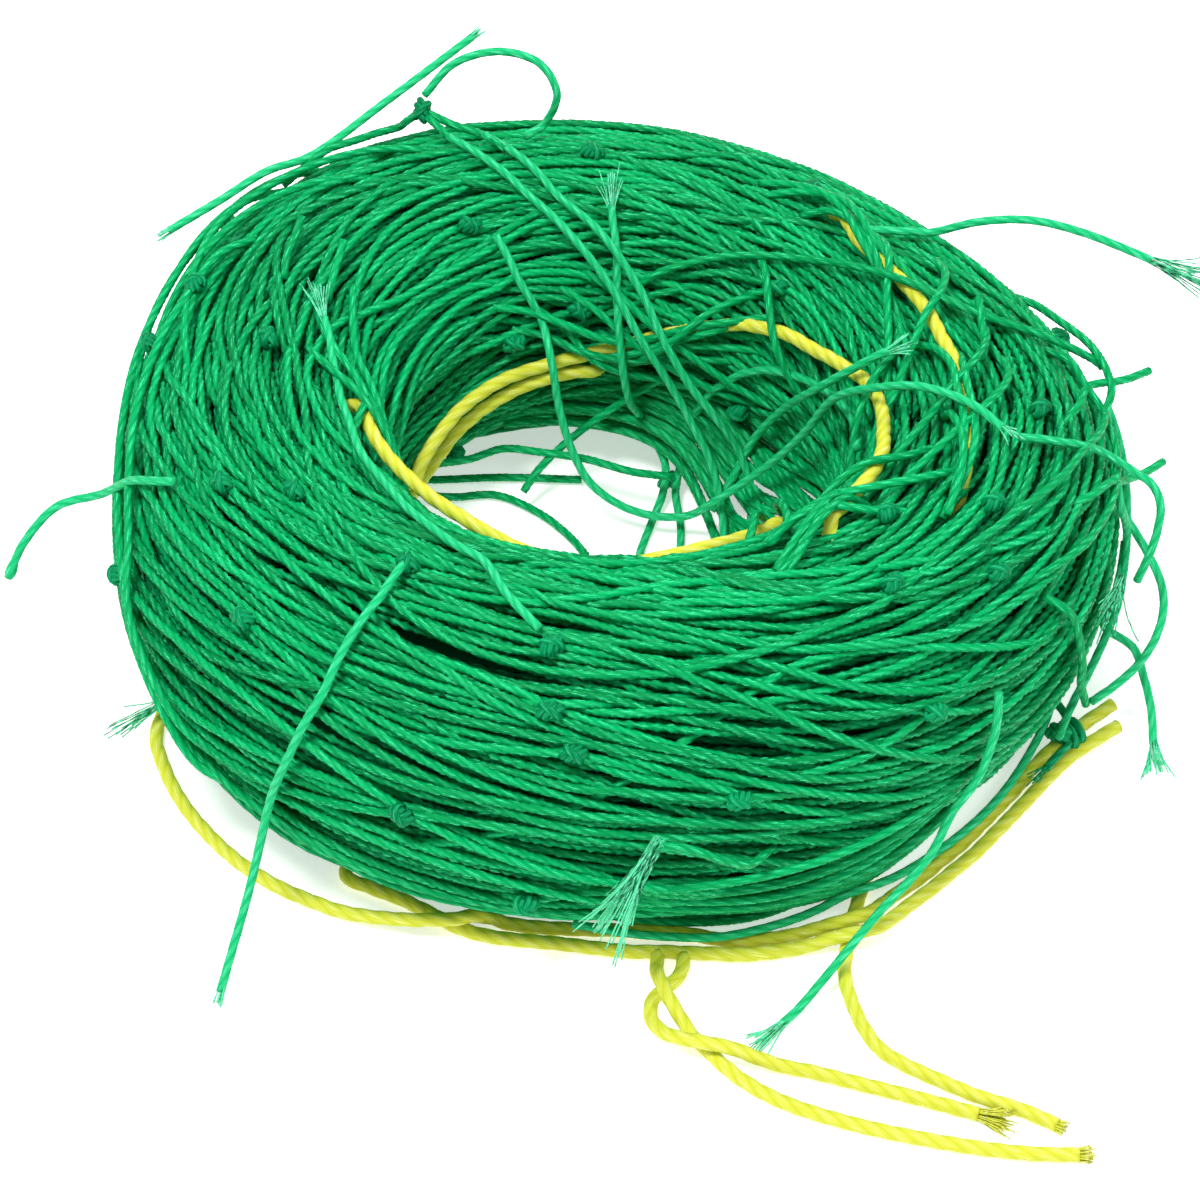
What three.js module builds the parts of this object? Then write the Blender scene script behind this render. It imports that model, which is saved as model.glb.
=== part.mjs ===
// Trellis netting: green twisted twine knotted into a wide mesh, laced to a yellow border rope and wound up
// into one loose ring. Millimetres, +Z up, with the origin on the floor under the middle of the ring.
import * as THREE from "three";

// Driving sizes
const TWINE_DIAMETER = 1.25;
const TWINE_SIDES = 6;
const TWINE_STEP = 3.2; // in twine diameters
const TWINE_FEWEST_STEPS = 6;
const ROPE_DIAMETER = 2;
const ROPE_LAY = 8.4; // one full turn of the rope's strands
const ROPE_STRANDS = 3;
const ROPE_GROOVE = 0.3; // depth of the groove between two strands
const ROPE_STEPS_PER_LAY = 5;
const CLEARANCE = 0.4; // between pieces that touch
const FLOOR_CLEARANCE = 0.05; // under what lies on the floor
const KNOT_DIAMETER = 3.8;
const KNOT_BULGE = 0.1; // share of the radius that the wraps of a knot rise and fall by
const KNOT_WRAPS = { along: 5, across: 2 }; // how closely the wraps follow each other
const KNOT_SEGMENTS = { around: 12, down: 9 };

// Sections of the wound ring, one for each eighth of a turn from +X towards +Y. The turns don't run straight
// round it: twistOut and twistIn are the degrees that they have moved round the section on its two sides.
const SECTIONS = [
  { inner: 31, outer: 70, height: 44, twistOut: -42, twistIn: 44 }, // right
  { inner: 29.5, outer: 66, height: 42.5, twistOut: -2, twistIn: 11 },
  { inner: 29, outer: 70.2, height: 43.5, twistOut: 0, twistIn: 0 }, // back
  { inner: 31, outer: 75.2, height: 46, twistOut: 0, twistIn: 12 },
  { inner: 31, outer: 70.5, height: 47, twistOut: 2, twistIn: 26 }, // left
  { inner: 27, outer: 72.5, height: 48, twistOut: 20, twistIn: 30 },
  { inner: 25.5, outer: 69.5, height: 49, twistOut: 5, twistIn: 32 }, // front
  { inner: 27, outer: 68, height: 47, twistOut: -35, twistIn: 38 },
];
const BELLY = 0.48; // height of the widest place, as a share of the section's height
const CROWN_POWER = 2.4; // squareness of the section above its belly
const FOOT_POWER = 2; // and below it

// Bundles of turns show as ridges
const RIDGES = 11;
const RIDGE_DEPTH = 2.8;
const RIDGE_UNEVEN = { share: 0.25, turns: 2, sections: 3 }; // some grooves are shallower
const RIDGE_FADE = 4; // how soon the ridges die out towards the flat foot
const RIDGE_POINTS = 4;
const RING_STEPS = 96;
const RING_POINTS = RIDGES * RIDGE_POINTS;

// Knots of the mesh that lie on the ring's outside: azimuth and section angle, in degrees
const RING_KNOTS = [
  [170, 48], [161, 62], [198, 16], [203, 72], [210, 92], [172, 98], [262, 52], [265, 40], [283, 22],
  [311, 72], [325, 54], [308, 28], [260, -18], [247, 14], [222, 50], [121, 120], [100, 154], [119, 164],
  [50, 130], [53, 186], [57, 78], [94, 88], [334, 72], [356, 70], [322, 98], [132, 218], [20, 30],
  [75, 24], [105, 12], [140, 26],
];
const KNOT_RISE = 1.6;

// Every route below is a list of points. Two numbers lie on the ring: azimuth and section angle, in degrees.
// Three numbers stand free: x, y and z.
const WOUND_ROPES = {
  border_rope_inner_high: [
    [162, 191], [155, 187], [148, 184], [140, 180.5], [125, 176.5], [112, 174], [101, 171], [86, 165],
    [66, 154], [54, 147], [41, 142.5], [30, 141], [20, 138], [12, 134.5], [4, 132], [-6, 129], [-12, 126.5],
    [-18, 122.5], [-28, 117], [-37, 113], [-46, 108],
  ],
  border_rope_inner_low: [
    [165, 212], [155, 204], [148, 197], [141, 190.5], [132, 186.5], [125, 184], [118, 181.5], [112, 180],
    [104, 178], [96, 177],
  ],
  border_rope_inner_front: [
    [183, 134], [200, 139], [225, 146], [240, 153], [252, 155], [272, 155], [282, 152], [296, 149], [310, 150],
    [322, 152],
  ],
  border_rope_crown: [
    [49, 87], [42, 95], [34, 98], [23, 100], [12, 102], [3, 101], [-5, 99], [-15, 92.5], [-18, 91],
  ],
};

// The two turns at the foot: azimuth, distance out from where a rope on the floor meets the ring, and lift.
// The outer one comes in from the left, passes over the inner one and then lies inside it. Further on both
// pass over the end that comes out from under the ring.
const FOOT_ROPES = {
  border_rope_foot_outer: [
    [201, 6.1, 0], [206, 7, 0], [211, 7.4, 0], [216, 7.5, 0], [223, 7.4, 0], [229, 6.9, 0], [234, 6.1, 0],
    [237, 5.7, 0.1], [240, 5.1, 0.5], [243, 4.7, 1.3], [246, 4.4, 2.2], [248, 3.7, 2.4], [250, 2.7, 2.2],
    [252, 1.1, 1.8], [254, 0.1, 0.8], [256, 0, 0.1], [260, 0, 0], [268, 0, 0], [275, 0.6, 0], [278, 1.5, 0],
    [281, 2.9, 0], [284, 4.5, 0], [287, 5.2, 0], [290, 5.8, 0], [292, 6.2, 0.2], [294, 7, 1.1],
    [296.5, 8.4, 2.5], [299, 8.8, 2.5], [302, 7.3, 0.9], [305, 6.2, 0], [309, 5.9, 0], [312, 5.5, 0],
    [316, 5.3, 0], [320, 4.9, 0], [324, 4.7, 0], [328, 4.7, 0], [331, 4.8, 0.4], [334, 5.6, 1.3],
    [339, 7.9, 2.1], [343, 10.7, 2.4],
  ],
  border_rope_foot_inner: [
    [234, -0.1, 0], [238, 0, 0], [242, 0, 0], [245, 0.5, 0], [248, 1.3, 0], [250, 2, 0], [253, 2.5, 0],
    [256, 2.6, 0], [260, 2.5, 0], [263, 2.6, 0], [268, 3.3, 0], [272, 4, 0], [275, 4.3, 0], [278, 5, 0],
    [281, 5.8, 0], [284, 6.9, 0], [287, 7.6, 0], [290, 8.2, 0], [292, 8.6, 0.2], [294, 9.4, 1.2],
    [296.5, 10.9, 2.5], [299, 11.4, 2.4], [302, 10, 0.9], [305, 8.8, 0], [309, 8.3, 0], [312, 7.9, 0],
    [316, 7.7, 0], [320, 7.3, 0], [324, 7.1, 0], [328, 7.1, 0], [332, 7.4, 0],
  ],
};

const ROPE_ENDS = {
  border_rope_end_long: [
    [5.2, -65.6, 1.05], [5.1, -67.7, 1.7], [5.1, -69.3, 2.9], [5.5, -71.2, 3.6], [6.4, -73.6, 3.4],
    [8, -76.4, 2.4], [9.8, -78.9, 1.2], [11.6, -81, 1.05], [14.2, -84.2, 1.05], [17.4, -87.1, 1.05],
    [21.8, -89.9, 1.05], [30.8, -93.4, 1.05], [43.6, -96.6, 1.05], [52, -97.9, 1.05], [60, -98.2, 1.05],
  ],
  border_rope_end_short: [
    [8.7, -65.9, 1.05], [8.4, -67.6, 1.05], [7.2, -69.6, 1.05], [5.6, -71.2, 1.05], [4.4, -73, 1.05],
    [4.3, -75.6, 1.1], [5.7, -78.6, 2], [8.2, -80.9, 3.3], [11.6, -81.9, 3.6], [15, -82.5, 3.1],
    [18.4, -83.2, 1.9], [21.6, -83.8, 1.1], [25, -84.6, 1.05], [30.6, -86.4, 1.05], [39, -89.1, 1.05],
    [49.2, -92.6, 1.05],
  ],
  border_rope_end_right: [
    [34, -49, 1.05], [32.8, -53.4, 1.05], [31.6, -58, 1.05], [30.6, -63, 1.05], [30, -68.4, 1.05],
    [31.1, -74.2, 1.05], [32.3, -77.6, 1.05], [34.1, -80.8, 1.05], [36.6, -83, 1.05], [41.7, -86.1, 1.05],
    [46.7, -88.8, 1.05], [51.7, -90.8, 1.05], [56.9, -93.7, 1.05],
  ],
};

const TWINE_ROUTES = {
  loose_end_back_left: [
    [-65, 35, 41.4], [-57, 40.4, 43.2], [-50.4, 45.6, 44.4], [131, 54], [-33, 59, 47], [-20, 69, 51.6],
  ],
  net_loop: [
    [-27.8, 57, 49.3], [-23.4, 58.4, 54], [-16.8, 58.6, 56], [-11, 57, 55], [-8.6, 55, 51.2], [101, 74],
    [104, 81],
  ],
  net_strand_across_1: [
    [115, 76], [112, 92], [108, 110], [-7.6, 33.8, 44], [-1.4, 28.6, 38.4], [3.4, 24.6, 31],
    [8, 22.4, 23.4], [11.2, 20.6, 17.4], [13.8, 18.4, 12], [15.2, 14.6, 7], [15.6, 9, 2], [15.6, 4, 0.7],
  ],
  net_strand_across_2: [
    [110, 78], [106, 94], [102, 112], [-2.4, 33.4, 43.4], [3, 28.4, 37.6], [6.6, 24, 31.4],
    [10.4, 21.4, 25], [14.2, 20, 20], [17.6, 19.4, 14], [19.4, 17, 9], [19.4, 14, 4.4], [18.8, 10, 1.2],
    [18.2, 5, 0.7],
  ],
  loose_end_forked: [
    [91, 106], [91, 120], [90, 134], [90, 146], [0.2, 27, 32.6], [0.8, 24.2, 26], [1.8, 24.6, 19.2],
    [2.9, 27.6, 14.3], [82, 207], [6, 27.8, 7.4], [7.2, 26.1, 4.8],
  ],
  hole_leg_1: [[6.9, 23.2, 2.4], [5.2, 18.2, 1], [3.4, 11.8, 0.7], [2.6, 5, 0.7]],
  hole_leg_2: [[8.7, 23.2, 2.4], [9.4, 17, 1], [9.2, 11.4, 0.7], [9, 5, 0.7]],
  hole_arc: [
    [9.4, 26.4, 4.4], [10.4, 28, 7.2], [70, 203], [66, 192], [61, 179], [52, 166], [44, 159], [36, 155],
    [25, 151], [14, 148], [2, 145], [-8, 142],
  ],
  hole_sweep: [
    [117, 126], [115, 142], [111, 156], [-9.4, 23.6, 28], [-8.2, 21.6, 20], [-6.4, 20, 13.4],
    [-3.8, 18.6, 8.4], [0.4, 17.4, 5.2], [5, 16.2, 4.2], [10, 15.4, 4.8], [14, 13.4, 9.6],
    [18.4, 13.2, 13.8], [23, 11.4, 20.4], [26.4, 8.4, 28], [30, 4, 38.4], [34.8, -1, 44.8],
    [41.2, -5.4, 49], [47.6, -9.4, 49.4], [52.6, -15.4, 49],
  ],
  loose_end_left_lip: [
    [158, 110], [168, 120], [178, 125], [190, 127], [215, 121], [232, 113], [246, 104], [259, 78],
  ],
  loose_end_left: [
    [199, 58], [193, 42], [-70.6, -10.2, 33.6], [-77, -9.4, 30.4], [-81.6, -12, 26], [-84, -13.6, 21],
  ],
  loose_end_front_left: [
    [235, 92], [236, 78], [236, 60], [236, 44], [234, 22], [232, 4], [-48.8, -61.6, 10], [-51.2, -67, 3.6],
    [-52.8, -72.6, 0.7],
  ],
  loose_end_back_right: [
    [44, 88], [40, 76], [38, 66], [51.4, 32.4, 46.2], [58.4, 32.2, 46.6], [65.4, 31.6, 45],
    [74.2, 31.2, 41], [82.4, 31, 36.6],
  ],
  loose_loop_right: [
    [348, 76], [350, 62], [354, 42], [70.8, -7.4, 35], [73, -8.6, 34], [74.2, -10.4, 32], [74, -11.8, 28.4],
    [73.2, -12.8, 25], [71.8, -13.2, 20],
  ],
  loose_strand_right: [
    [7, 30], [3, 20], [-1, 10], [-3.5, 5], [71.8, -5, 22], [73.6, -7, 19.8], [75.8, -9.8, 16],
    [76.2, -11.8, 12.6], [75, -15, 10.4], [72.4, -19, 9.4], [68.8, -22.8, 9], [65.4, -25.8, 9],
  ],
  loose_end_right_low: [
    [356, -4], [352, -14], [349, -24.5], [72, -15.4, 9], [73.6, -17.6, 5.4], [74.6, -21, 2.4],
    [74.6, -26, 0.7],
  ],
  loose_end_front_right: [
    [317, 22], [316, 8], [314, -6], [311, -18], [41.8, -54.8, 10.4], [38.6, -58.4, 8.6], [35, -62, 7.2],
    [31, -66.8, 5.8], [27, -71, 3.4], [23, -75, 1.2], [18, -79.6, 0.7],
  ],
};

// Knots that stand free of the ring: centre, and size as a share of a full knot
const FREE_KNOTS = {
  net_loop_knot: { x: -28.2, y: 56.6, z: 46.8, scale: 1 },
  hole_knot: { x: 7.8, y: 25.4, z: 2.6, scale: 0.95 },
};
const LASHING = { place: 0.955, sides: 8, steps: 20 }; // place is a share of the rope's length

const NET_GREEN = { color: 0x0a9f58, roughness: 0.42, metalness: 0 };
const KNOT_GREEN = { color: 0x06804a, roughness: 0.5, metalness: 0 };
const ROPE_YELLOW = { color: 0xd6d62c, roughness: 0.4, metalness: 0 };

const group = new THREE.Group();
const degrees = THREE.MathUtils.degToRad;

function addMesh(name, geometry, finish) {
  const mesh = new THREE.Mesh(geometry, new THREE.MeshStandardMaterial(finish));
  mesh.name = name;
  group.add(mesh);
  return mesh;
}

// One size of the ring's section at an azimuth, on a smooth closed curve through the rows
function sectionSize(column, azimuth) {
  const count = SECTIONS.length;
  const place = THREE.MathUtils.euclideanModulo((azimuth / 360) * count, count);
  const row = Math.floor(place);
  const f = place - row;
  const [a, b, c, d] = [-1, 0, 1, 2].map((k) => SECTIONS[(row + k + count) % count][column]);
  return b + 0.5 * f * (c - a + f * (2 * a - 5 * b + 4 * c - d + f * (3 * (b - c) + d - a)));
}

// A point of the ring's outside, or one at a lift from it
function onRing(azimuth, section, lift = 0) {
  const inner = sectionSize("inner", azimuth);
  const outer = sectionSize("outer", azimuth);
  const height = sectionSize("height", azimuth);
  const c = Math.cos(degrees(section));
  const s = Math.sin(degrees(section));
  const power = s > 0 ? CROWN_POWER : FOOT_POWER;
  const reach = (Math.abs(c) ** power + Math.abs(s) ** power) ** (-1 / power);
  const radius = (inner + outer) / 2 + (((outer - inner) / 2) * reach + lift) * c;
  const z = BELLY * height + ((1 - BELLY) * height * reach + lift) * s;
  const turn = degrees(azimuth);
  return new THREE.Vector3(radius * Math.cos(turn), radius * Math.sin(turn), Math.max(z, 0));
}

// Where a rope of this lift, lying on the floor at a height, first meets the ring
function atFoot(azimuth, out, height, lift) {
  const middle = BELLY * sectionSize("height", azimuth);
  const drop = (1 - BELLY) * sectionSize("height", azimuth) + lift;
  const section = (Math.asin((height - middle) / drop) * 180) / Math.PI;
  const touch = onRing(azimuth, section, lift);
  const radius = Math.hypot(touch.x, touch.y) + out;
  const turn = degrees(azimuth);
  return new THREE.Vector3(radius * Math.cos(turn), radius * Math.sin(turn), height);
}

// The section angle, at an azimuth, of a turn that starts at a section angle
function twisted(azimuth, start) {
  const out = (1 + Math.cos(degrees(start))) / 2;
  return start + out * sectionSize("twistOut", azimuth) + (1 - out) * sectionSize("twistIn", azimuth);
}

// The net wound up: its bundles of turns and its knots are raised in the points of one closed surface
function ringGeometry() {
  const knotPoints = new Set();
  for (const [azimuth, section] of RING_KNOTS) {
    const step = Math.round((azimuth / 360) * RING_STEPS) % RING_STEPS;
    const awayFrom = (point) => {
      const turned = twisted((360 * step) / RING_STEPS, (360 * point) / RING_POINTS) - section;
      return Math.abs(THREE.MathUtils.euclideanModulo(turned + 180, 360) - 180);
    };
    const points = Array.from({ length: RING_POINTS }, (_, point) => point);
    const nearest = points.reduce((best, point) => (awayFrom(point) < awayFrom(best) ? point : best));
    knotPoints.add(step * RING_POINTS + nearest);
  }
  const { share, turns, sections } = RIDGE_UNEVEN;
  const positions = [];
  for (let step = 0; step < RING_STEPS; step++) {
    const azimuth = (360 * step) / RING_STEPS;
    for (let point = 0; point < RING_POINTS; point++) {
      const section = twisted(azimuth, (360 * point) / RING_POINTS);
      const across = (point % RIDGE_POINTS) / RIDGE_POINTS;
      const wave = Math.cos(degrees(turns * azimuth + sections * section));
      const uneven = 1 - share + share * wave;
      const raised = Math.min(1, RIDGE_FADE * (1 + Math.sin(degrees(section))));
      const groove = RIDGE_DEPTH * uneven * raised * (1 - Math.sin(Math.PI * across));
      const lift = knotPoints.has(step * RING_POINTS + point) ? KNOT_RISE : -groove;
      positions.push(...onRing(azimuth, section, lift).toArray());
    }
  }
  const at = (step, point) => (step % RING_STEPS) * RING_POINTS + (point % RING_POINTS);
  const index = [];
  for (let step = 0; step < RING_STEPS; step++) {
    for (let point = 0; point < RING_POINTS; point++) {
      index.push(at(step, point), at(step + 1, point), at(step, point + 1));
      index.push(at(step + 1, point), at(step + 1, point + 1), at(step, point + 1));
    }
  }
  return new THREE.BufferGeometry()
    .setAttribute("position", new THREE.Float32BufferAttribute(positions, 3))
    .setIndex(index);
}

// A route as points in space: stretches on the ring are filled in so that they follow its surface
function routePoints(rows, radius) {
  const lift = radius + CLEARANCE;
  const points = [];
  rows.forEach((row, i) => {
    if (row.length === 3) {
      points.push(new THREE.Vector3(...row));
      return;
    }
    points.push(onRing(...row, lift));
    const next = rows[i + 1];
    if (next && next.length === 2) {
      const between = row.map((angle, k) => (angle + next[k]) / 2);
      points.push(onRing(...between, lift));
    }
  });
  return points;
}

// Rope of three strands laid right-handed: a lobed section that turns as it goes along the route
function ropeGeometry(points) {
  const path = new THREE.CatmullRomCurve3(points, false, "centripetal");
  const sides = 2 * ROPE_STRANDS;
  const steps = Math.round((path.getLength() / ROPE_LAY) * ROPE_STEPS_PER_LAY);
  const turnPerStep = ((path.getLength() / steps) * 2 * Math.PI) / ROPE_LAY;
  const frames = path.computeFrenetFrames(steps, false);
  const positions = [];
  for (let step = 0; step <= steps; step++) {
    const centre = path.getPointAt(step / steps);
    for (let side = 0; side < sides; side++) {
      const angle = (2 * Math.PI * side) / sides + turnPerStep * step;
      const reach = ROPE_DIAMETER / 2 - (side % 2) * ROPE_GROOVE;
      const point = centre.clone();
      point.addScaledVector(frames.normals[step], reach * Math.cos(angle));
      point.addScaledVector(frames.binormals[step], reach * Math.sin(angle));
      positions.push(...point.toArray());
    }
  }
  const first = positions.length / 3;
  positions.push(...points[0].toArray(), ...points[points.length - 1].toArray());
  const index = [];
  for (let side = 0; side < sides; side++) {
    const next = (side + 1) % sides;
    for (let step = 0; step < steps; step++) {
      const here = step * sides;
      const ahead = here + sides;
      index.push(here + side, here + next, ahead + side);
      index.push(here + next, ahead + next, ahead + side);
    }
    index.push(first, next, side);
    index.push(first + 1, steps * sides + side, steps * sides + next);
  }
  return new THREE.BufferGeometry()
    .setAttribute("position", new THREE.Float32BufferAttribute(positions, 3))
    .setIndex(index);
}

// Twine: a plain tube
function twineGeometry(points) {
  const radius = TWINE_DIAMETER / 2;
  const outline = Array.from({ length: TWINE_SIDES }, (_, side) => {
    const angle = (2 * Math.PI * side) / TWINE_SIDES;
    return new THREE.Vector2(radius * Math.cos(angle), radius * Math.sin(angle));
  });
  const path = new THREE.CatmullRomCurve3(points, false, "centripetal");
  const steps = Math.max(TWINE_FEWEST_STEPS, Math.round(path.getLength() / (TWINE_STEP * TWINE_DIAMETER)));
  const settings = { steps, bevelEnabled: false, extrudePath: path };
  return new THREE.ExtrudeGeometry(new THREE.Shape(outline), settings);
}

// A drawn-up knot: a ball with the bulges of its wraps raised in its points
function knotGeometry(scale) {
  const { around, down } = KNOT_SEGMENTS;
  const { along, across } = KNOT_WRAPS;
  const geometry = new THREE.SphereGeometry((KNOT_DIAMETER / 2) * scale, around, down);
  const position = geometry.getAttribute("position");
  const point = new THREE.Vector3();
  for (let i = 0; i < position.count; i++) {
    point.fromBufferAttribute(position, i);
    const direction = point.clone().normalize();
    const wrap = Math.cos(along * (direction.x + direction.y) + across * direction.z);
    const bulge = 1 - KNOT_BULGE + KNOT_BULGE * wrap;
    position.setXYZ(i, point.x * bulge, point.y * bulge, point.z * bulge);
  }
  return geometry;
}

addMesh("net_coil", ringGeometry(), NET_GREEN);

const ropeRadius = ROPE_DIAMETER / 2;
for (const [name, rows] of Object.entries(WOUND_ROPES)) {
  addMesh(name, ropeGeometry(routePoints(rows, ropeRadius)), ROPE_YELLOW);
}
const ropeRest = ropeRadius + FLOOR_CLEARANCE;
const footRoutes = {};
for (const [name, rows] of Object.entries(FOOT_ROPES)) {
  footRoutes[name] = rows.map(([azimuth, out, lift]) => {
    const touch = atFoot(azimuth, out, ropeRest, ropeRadius + CLEARANCE);
    return touch.setZ(touch.z + lift);
  });
}
for (const [name, points] of Object.entries(footRoutes)) {
  addMesh(name, ropeGeometry(points), ROPE_YELLOW);
}
for (const [name, rows] of Object.entries(ROPE_ENDS)) {
  addMesh(name, ropeGeometry(routePoints(rows, ropeRadius)), ROPE_YELLOW);
}

for (const [name, rows] of Object.entries(TWINE_ROUTES)) {
  addMesh(name, twineGeometry(routePoints(rows, TWINE_DIAMETER / 2)), NET_GREEN);
}
for (const [name, { x, y, z, scale }] of Object.entries(FREE_KNOTS)) {
  addMesh(name, knotGeometry(scale), KNOT_GREEN).position.set(x, y, z);
}

// The lashing is one turn of twine round the outer foot rope, near its cut end
const outerFoot = new THREE.CatmullRomCurve3(footRoutes.border_rope_foot_outer, false, "centripetal");
const twineRadius = TWINE_DIAMETER / 2;
const wrapRadius = ropeRadius + CLEARANCE + twineRadius;
const wrap = new THREE.TorusGeometry(wrapRadius, twineRadius, LASHING.sides, LASHING.steps);
const lashing = addMesh("lashing", wrap, KNOT_GREEN);
lashing.position.copy(outerFoot.getPointAt(LASHING.place));
lashing.quaternion.setFromUnitVectors(new THREE.Vector3(0, 0, 1), outerFoot.getTangentAt(LASHING.place));

export default group;
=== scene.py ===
import math
import bpy
import numpy as np
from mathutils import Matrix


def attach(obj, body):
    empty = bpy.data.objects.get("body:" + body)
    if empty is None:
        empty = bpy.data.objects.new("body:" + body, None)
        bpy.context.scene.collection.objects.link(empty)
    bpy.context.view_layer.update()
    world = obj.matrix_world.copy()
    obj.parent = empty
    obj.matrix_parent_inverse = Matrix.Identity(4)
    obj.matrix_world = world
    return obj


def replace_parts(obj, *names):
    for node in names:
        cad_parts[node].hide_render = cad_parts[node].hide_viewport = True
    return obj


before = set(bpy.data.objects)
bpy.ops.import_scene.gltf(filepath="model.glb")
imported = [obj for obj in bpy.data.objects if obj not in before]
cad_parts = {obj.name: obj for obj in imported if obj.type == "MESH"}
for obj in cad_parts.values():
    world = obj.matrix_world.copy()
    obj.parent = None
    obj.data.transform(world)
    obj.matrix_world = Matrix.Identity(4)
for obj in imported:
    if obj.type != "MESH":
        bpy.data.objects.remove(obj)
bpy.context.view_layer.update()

bpy.ops.object.select_all(action="DESELECT")
scene = bpy.context.scene
random = np.random.default_rng(41)
fullTurn = 6.28  # radians, for angles drawn at random

# Camera, floor and light

cameraSettings = {
    "location": (-0.0024, -0.4477, 0.4507),
    "tilt": 45.0,  # degrees from straight down
    "lens": 132.86,
    "sensor": 36.0,
    "clipStart": 0.01,
}
stageSettings = {
    "floorSize": 6.0,
    "floorColor": (0.93, 0.93, 0.93, 1.0),
    "floorRoughness": 0.9,
    "floorShine": 0.1,
    "floorGlow": 0.5,  # a lit table, so that the shadows stay faint
    "glowColor": (1.0, 1.0, 1.0, 1.0),
    "skyColor": (1.0, 1.0, 1.0, 1.0),
    "skyStrength": 0.6,
    "lights": (  # place, size, watts
        ((-0.2, -0.25, 0.8), 0.22, 5.5),
        ((0.5, -0.1, 0.6), 0.3, 1.5),
        ((0.0, 0.6, 0.6), 0.5, 1.5),
    ),
}


def makeCamera(settings):
    bpy.ops.object.camera_add(location=settings["location"], rotation=(math.radians(settings["tilt"]), 0, 0))
    camera = bpy.context.object
    camera.name = "photoCamera"
    camera.data.sensor_width = settings["sensor"]
    camera.data.lens = settings["lens"]
    camera.data.clip_start = settings["clipStart"]
    scene.camera = camera


def makeStage(settings):
    bpy.ops.mesh.primitive_plane_add(size=settings["floorSize"])
    floor = bpy.context.object
    floor.name = "floor"
    paint = bpy.data.materials.new("paleFloor")
    paint.use_nodes = True
    shader = paint.node_tree.nodes["Principled BSDF"]
    shader.inputs["Base Color"].default_value = settings["floorColor"]
    shader.inputs["Roughness"].default_value = settings["floorRoughness"]
    shader.inputs["Emission Color"].default_value = settings["glowColor"]
    shader.inputs["Emission Strength"].default_value = settings["floorGlow"]
    shader.inputs["Specular IOR Level"].default_value = settings["floorShine"]
    floor.data.materials.append(paint)
    world = bpy.data.worlds.new("studioSky")
    world.use_nodes = True
    sky = world.node_tree.nodes["Background"]
    sky.inputs["Color"].default_value = settings["skyColor"]
    sky.inputs["Strength"].default_value = settings["skyStrength"]
    scene.world = world
    for place, size, watts in settings["lights"]:
        bpy.ops.object.light_add(type="AREA", location=place)
        lamp = bpy.context.object
        lamp.data.shape = "DISK"
        lamp.data.size = size
        lamp.data.energy = watts
        lamp.rotation_euler = (-lamp.location).to_track_quat("-Z", "Y").to_euler()


makeCamera(cameraSettings)
makeStage(stageSettings)
scene.view_settings.view_transform = "Standard"
print("camera, floor and light are set")

# Shader maths: a wrapped socket, so that values can be written as expressions


class Value:
    def __init__(self, tree, socket=None):
        self.tree = tree
        self.socket = socket

    def node(self, kind, output, settings=None, inputs=None):
        made = self.tree.nodes.new(kind)
        for key, setting in (settings or {}).items():
            setattr(made, key, setting)
        for key, given in (inputs or {}).items():
            if isinstance(given, Value):
                self.tree.links.new(given.socket, made.inputs[key])
            else:
                made.inputs[key].default_value = given
        return Value(self.tree, made.outputs[output])

    def maths(self, operation, first, second=0.0):
        return self.node("ShaderNodeMath", 0, {"operation": operation}, {0: first, 1: second})

    def __add__(self, other):
        return self.maths("ADD", self, other)

    def __rsub__(self, other):
        return self.maths("SUBTRACT", other, self)

    def __mul__(self, other):
        return self.maths("MULTIPLY", self, other)


def mixColors(factor, first, second):
    settings = {"data_type": "RGBA", "clamp_factor": True}
    return factor.node("ShaderNodeMix", 2, settings, {0: factor, 6: first, 7: second})


# Twisted plastic fibre: streaks and bump run along the filaments, which the piece's UV map follows. The
# colour has painted shade in the grooves between the strands and a painted highlight on their crests

netGreen = {
    # groove is painted shade between the strands; the palest colour is a painted highlight on their crests
    "groove": (0.0, 0.19, 0.046, 1.0),
    "dark": (0.0, 0.21, 0.052, 1.0),
    "bright": (0.0, 0.43, 0.125, 1.0),
    "paintedHighlight": (0.05, 0.76, 0.33, 1.0),
    "filaments": (6.0, 1.6, 1.0),  # round the twine, changes along 10 mm, slip against the lay
    "bump": 0.5,
}
looseGreen = dict(netGreen, groove=(0.0, 0.30, 0.09, 1.0), dark=(0.004, 0.35, 0.105, 1.0),
                  bright=(0.015, 0.56, 0.20, 1.0), paintedHighlight=(0.10, 0.80, 0.44, 1.0))
wispGreen = dict(netGreen, groove=(0.05, 0.60, 0.27, 1.0), dark=(0.05, 0.60, 0.27, 1.0),
                 bright=(0.12, 0.78, 0.42, 1.0), paintedHighlight=(0.25, 0.88, 0.56, 1.0))
knotGreen = dict(netGreen, groove=(0.0, 0.10, 0.03, 1.0), dark=(0.0, 0.16, 0.05, 1.0),
                 bright=(0.0, 0.34, 0.115, 1.0), paintedHighlight=(0.03, 0.58, 0.25, 1.0))
ropeYellow = {
    # groove is painted shade between the strands; the palest colour is a painted highlight on their crests
    "groove": (0.51, 0.53, 0.028, 1.0),
    "dark": (0.57, 0.60, 0.035, 1.0),
    "bright": (0.71, 0.74, 0.07, 1.0),
    "paintedHighlight": (0.84, 0.86, 0.28, 1.0),
    "filaments": (9.0, 2.4, 0.7),
    "bump": 0.6,
}
fibreLook = {
    "strands": 3,  # laid into a twine or a rope
    "detail": 2.0,
    "silk": (0.36, 0.64),  # streaks that shine
    "grooveShadeCrest": (-0.4, 0.45),  # painted shade in the grooves, from the groove's colour to the strand's
    "paintedHighlightCrest": (0.45, 1.0),
    "paintedHighlightStreaks": (0.48, 0.66),
    "bumpDepth": 0.00025,
    "bumpShares": (0.6, 0.3),  # streaks and strands
    "roughness": 0.48,
    "silkRoughness": 0.2,  # taken off where it shines
    "specular": 0.06,
}


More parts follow.
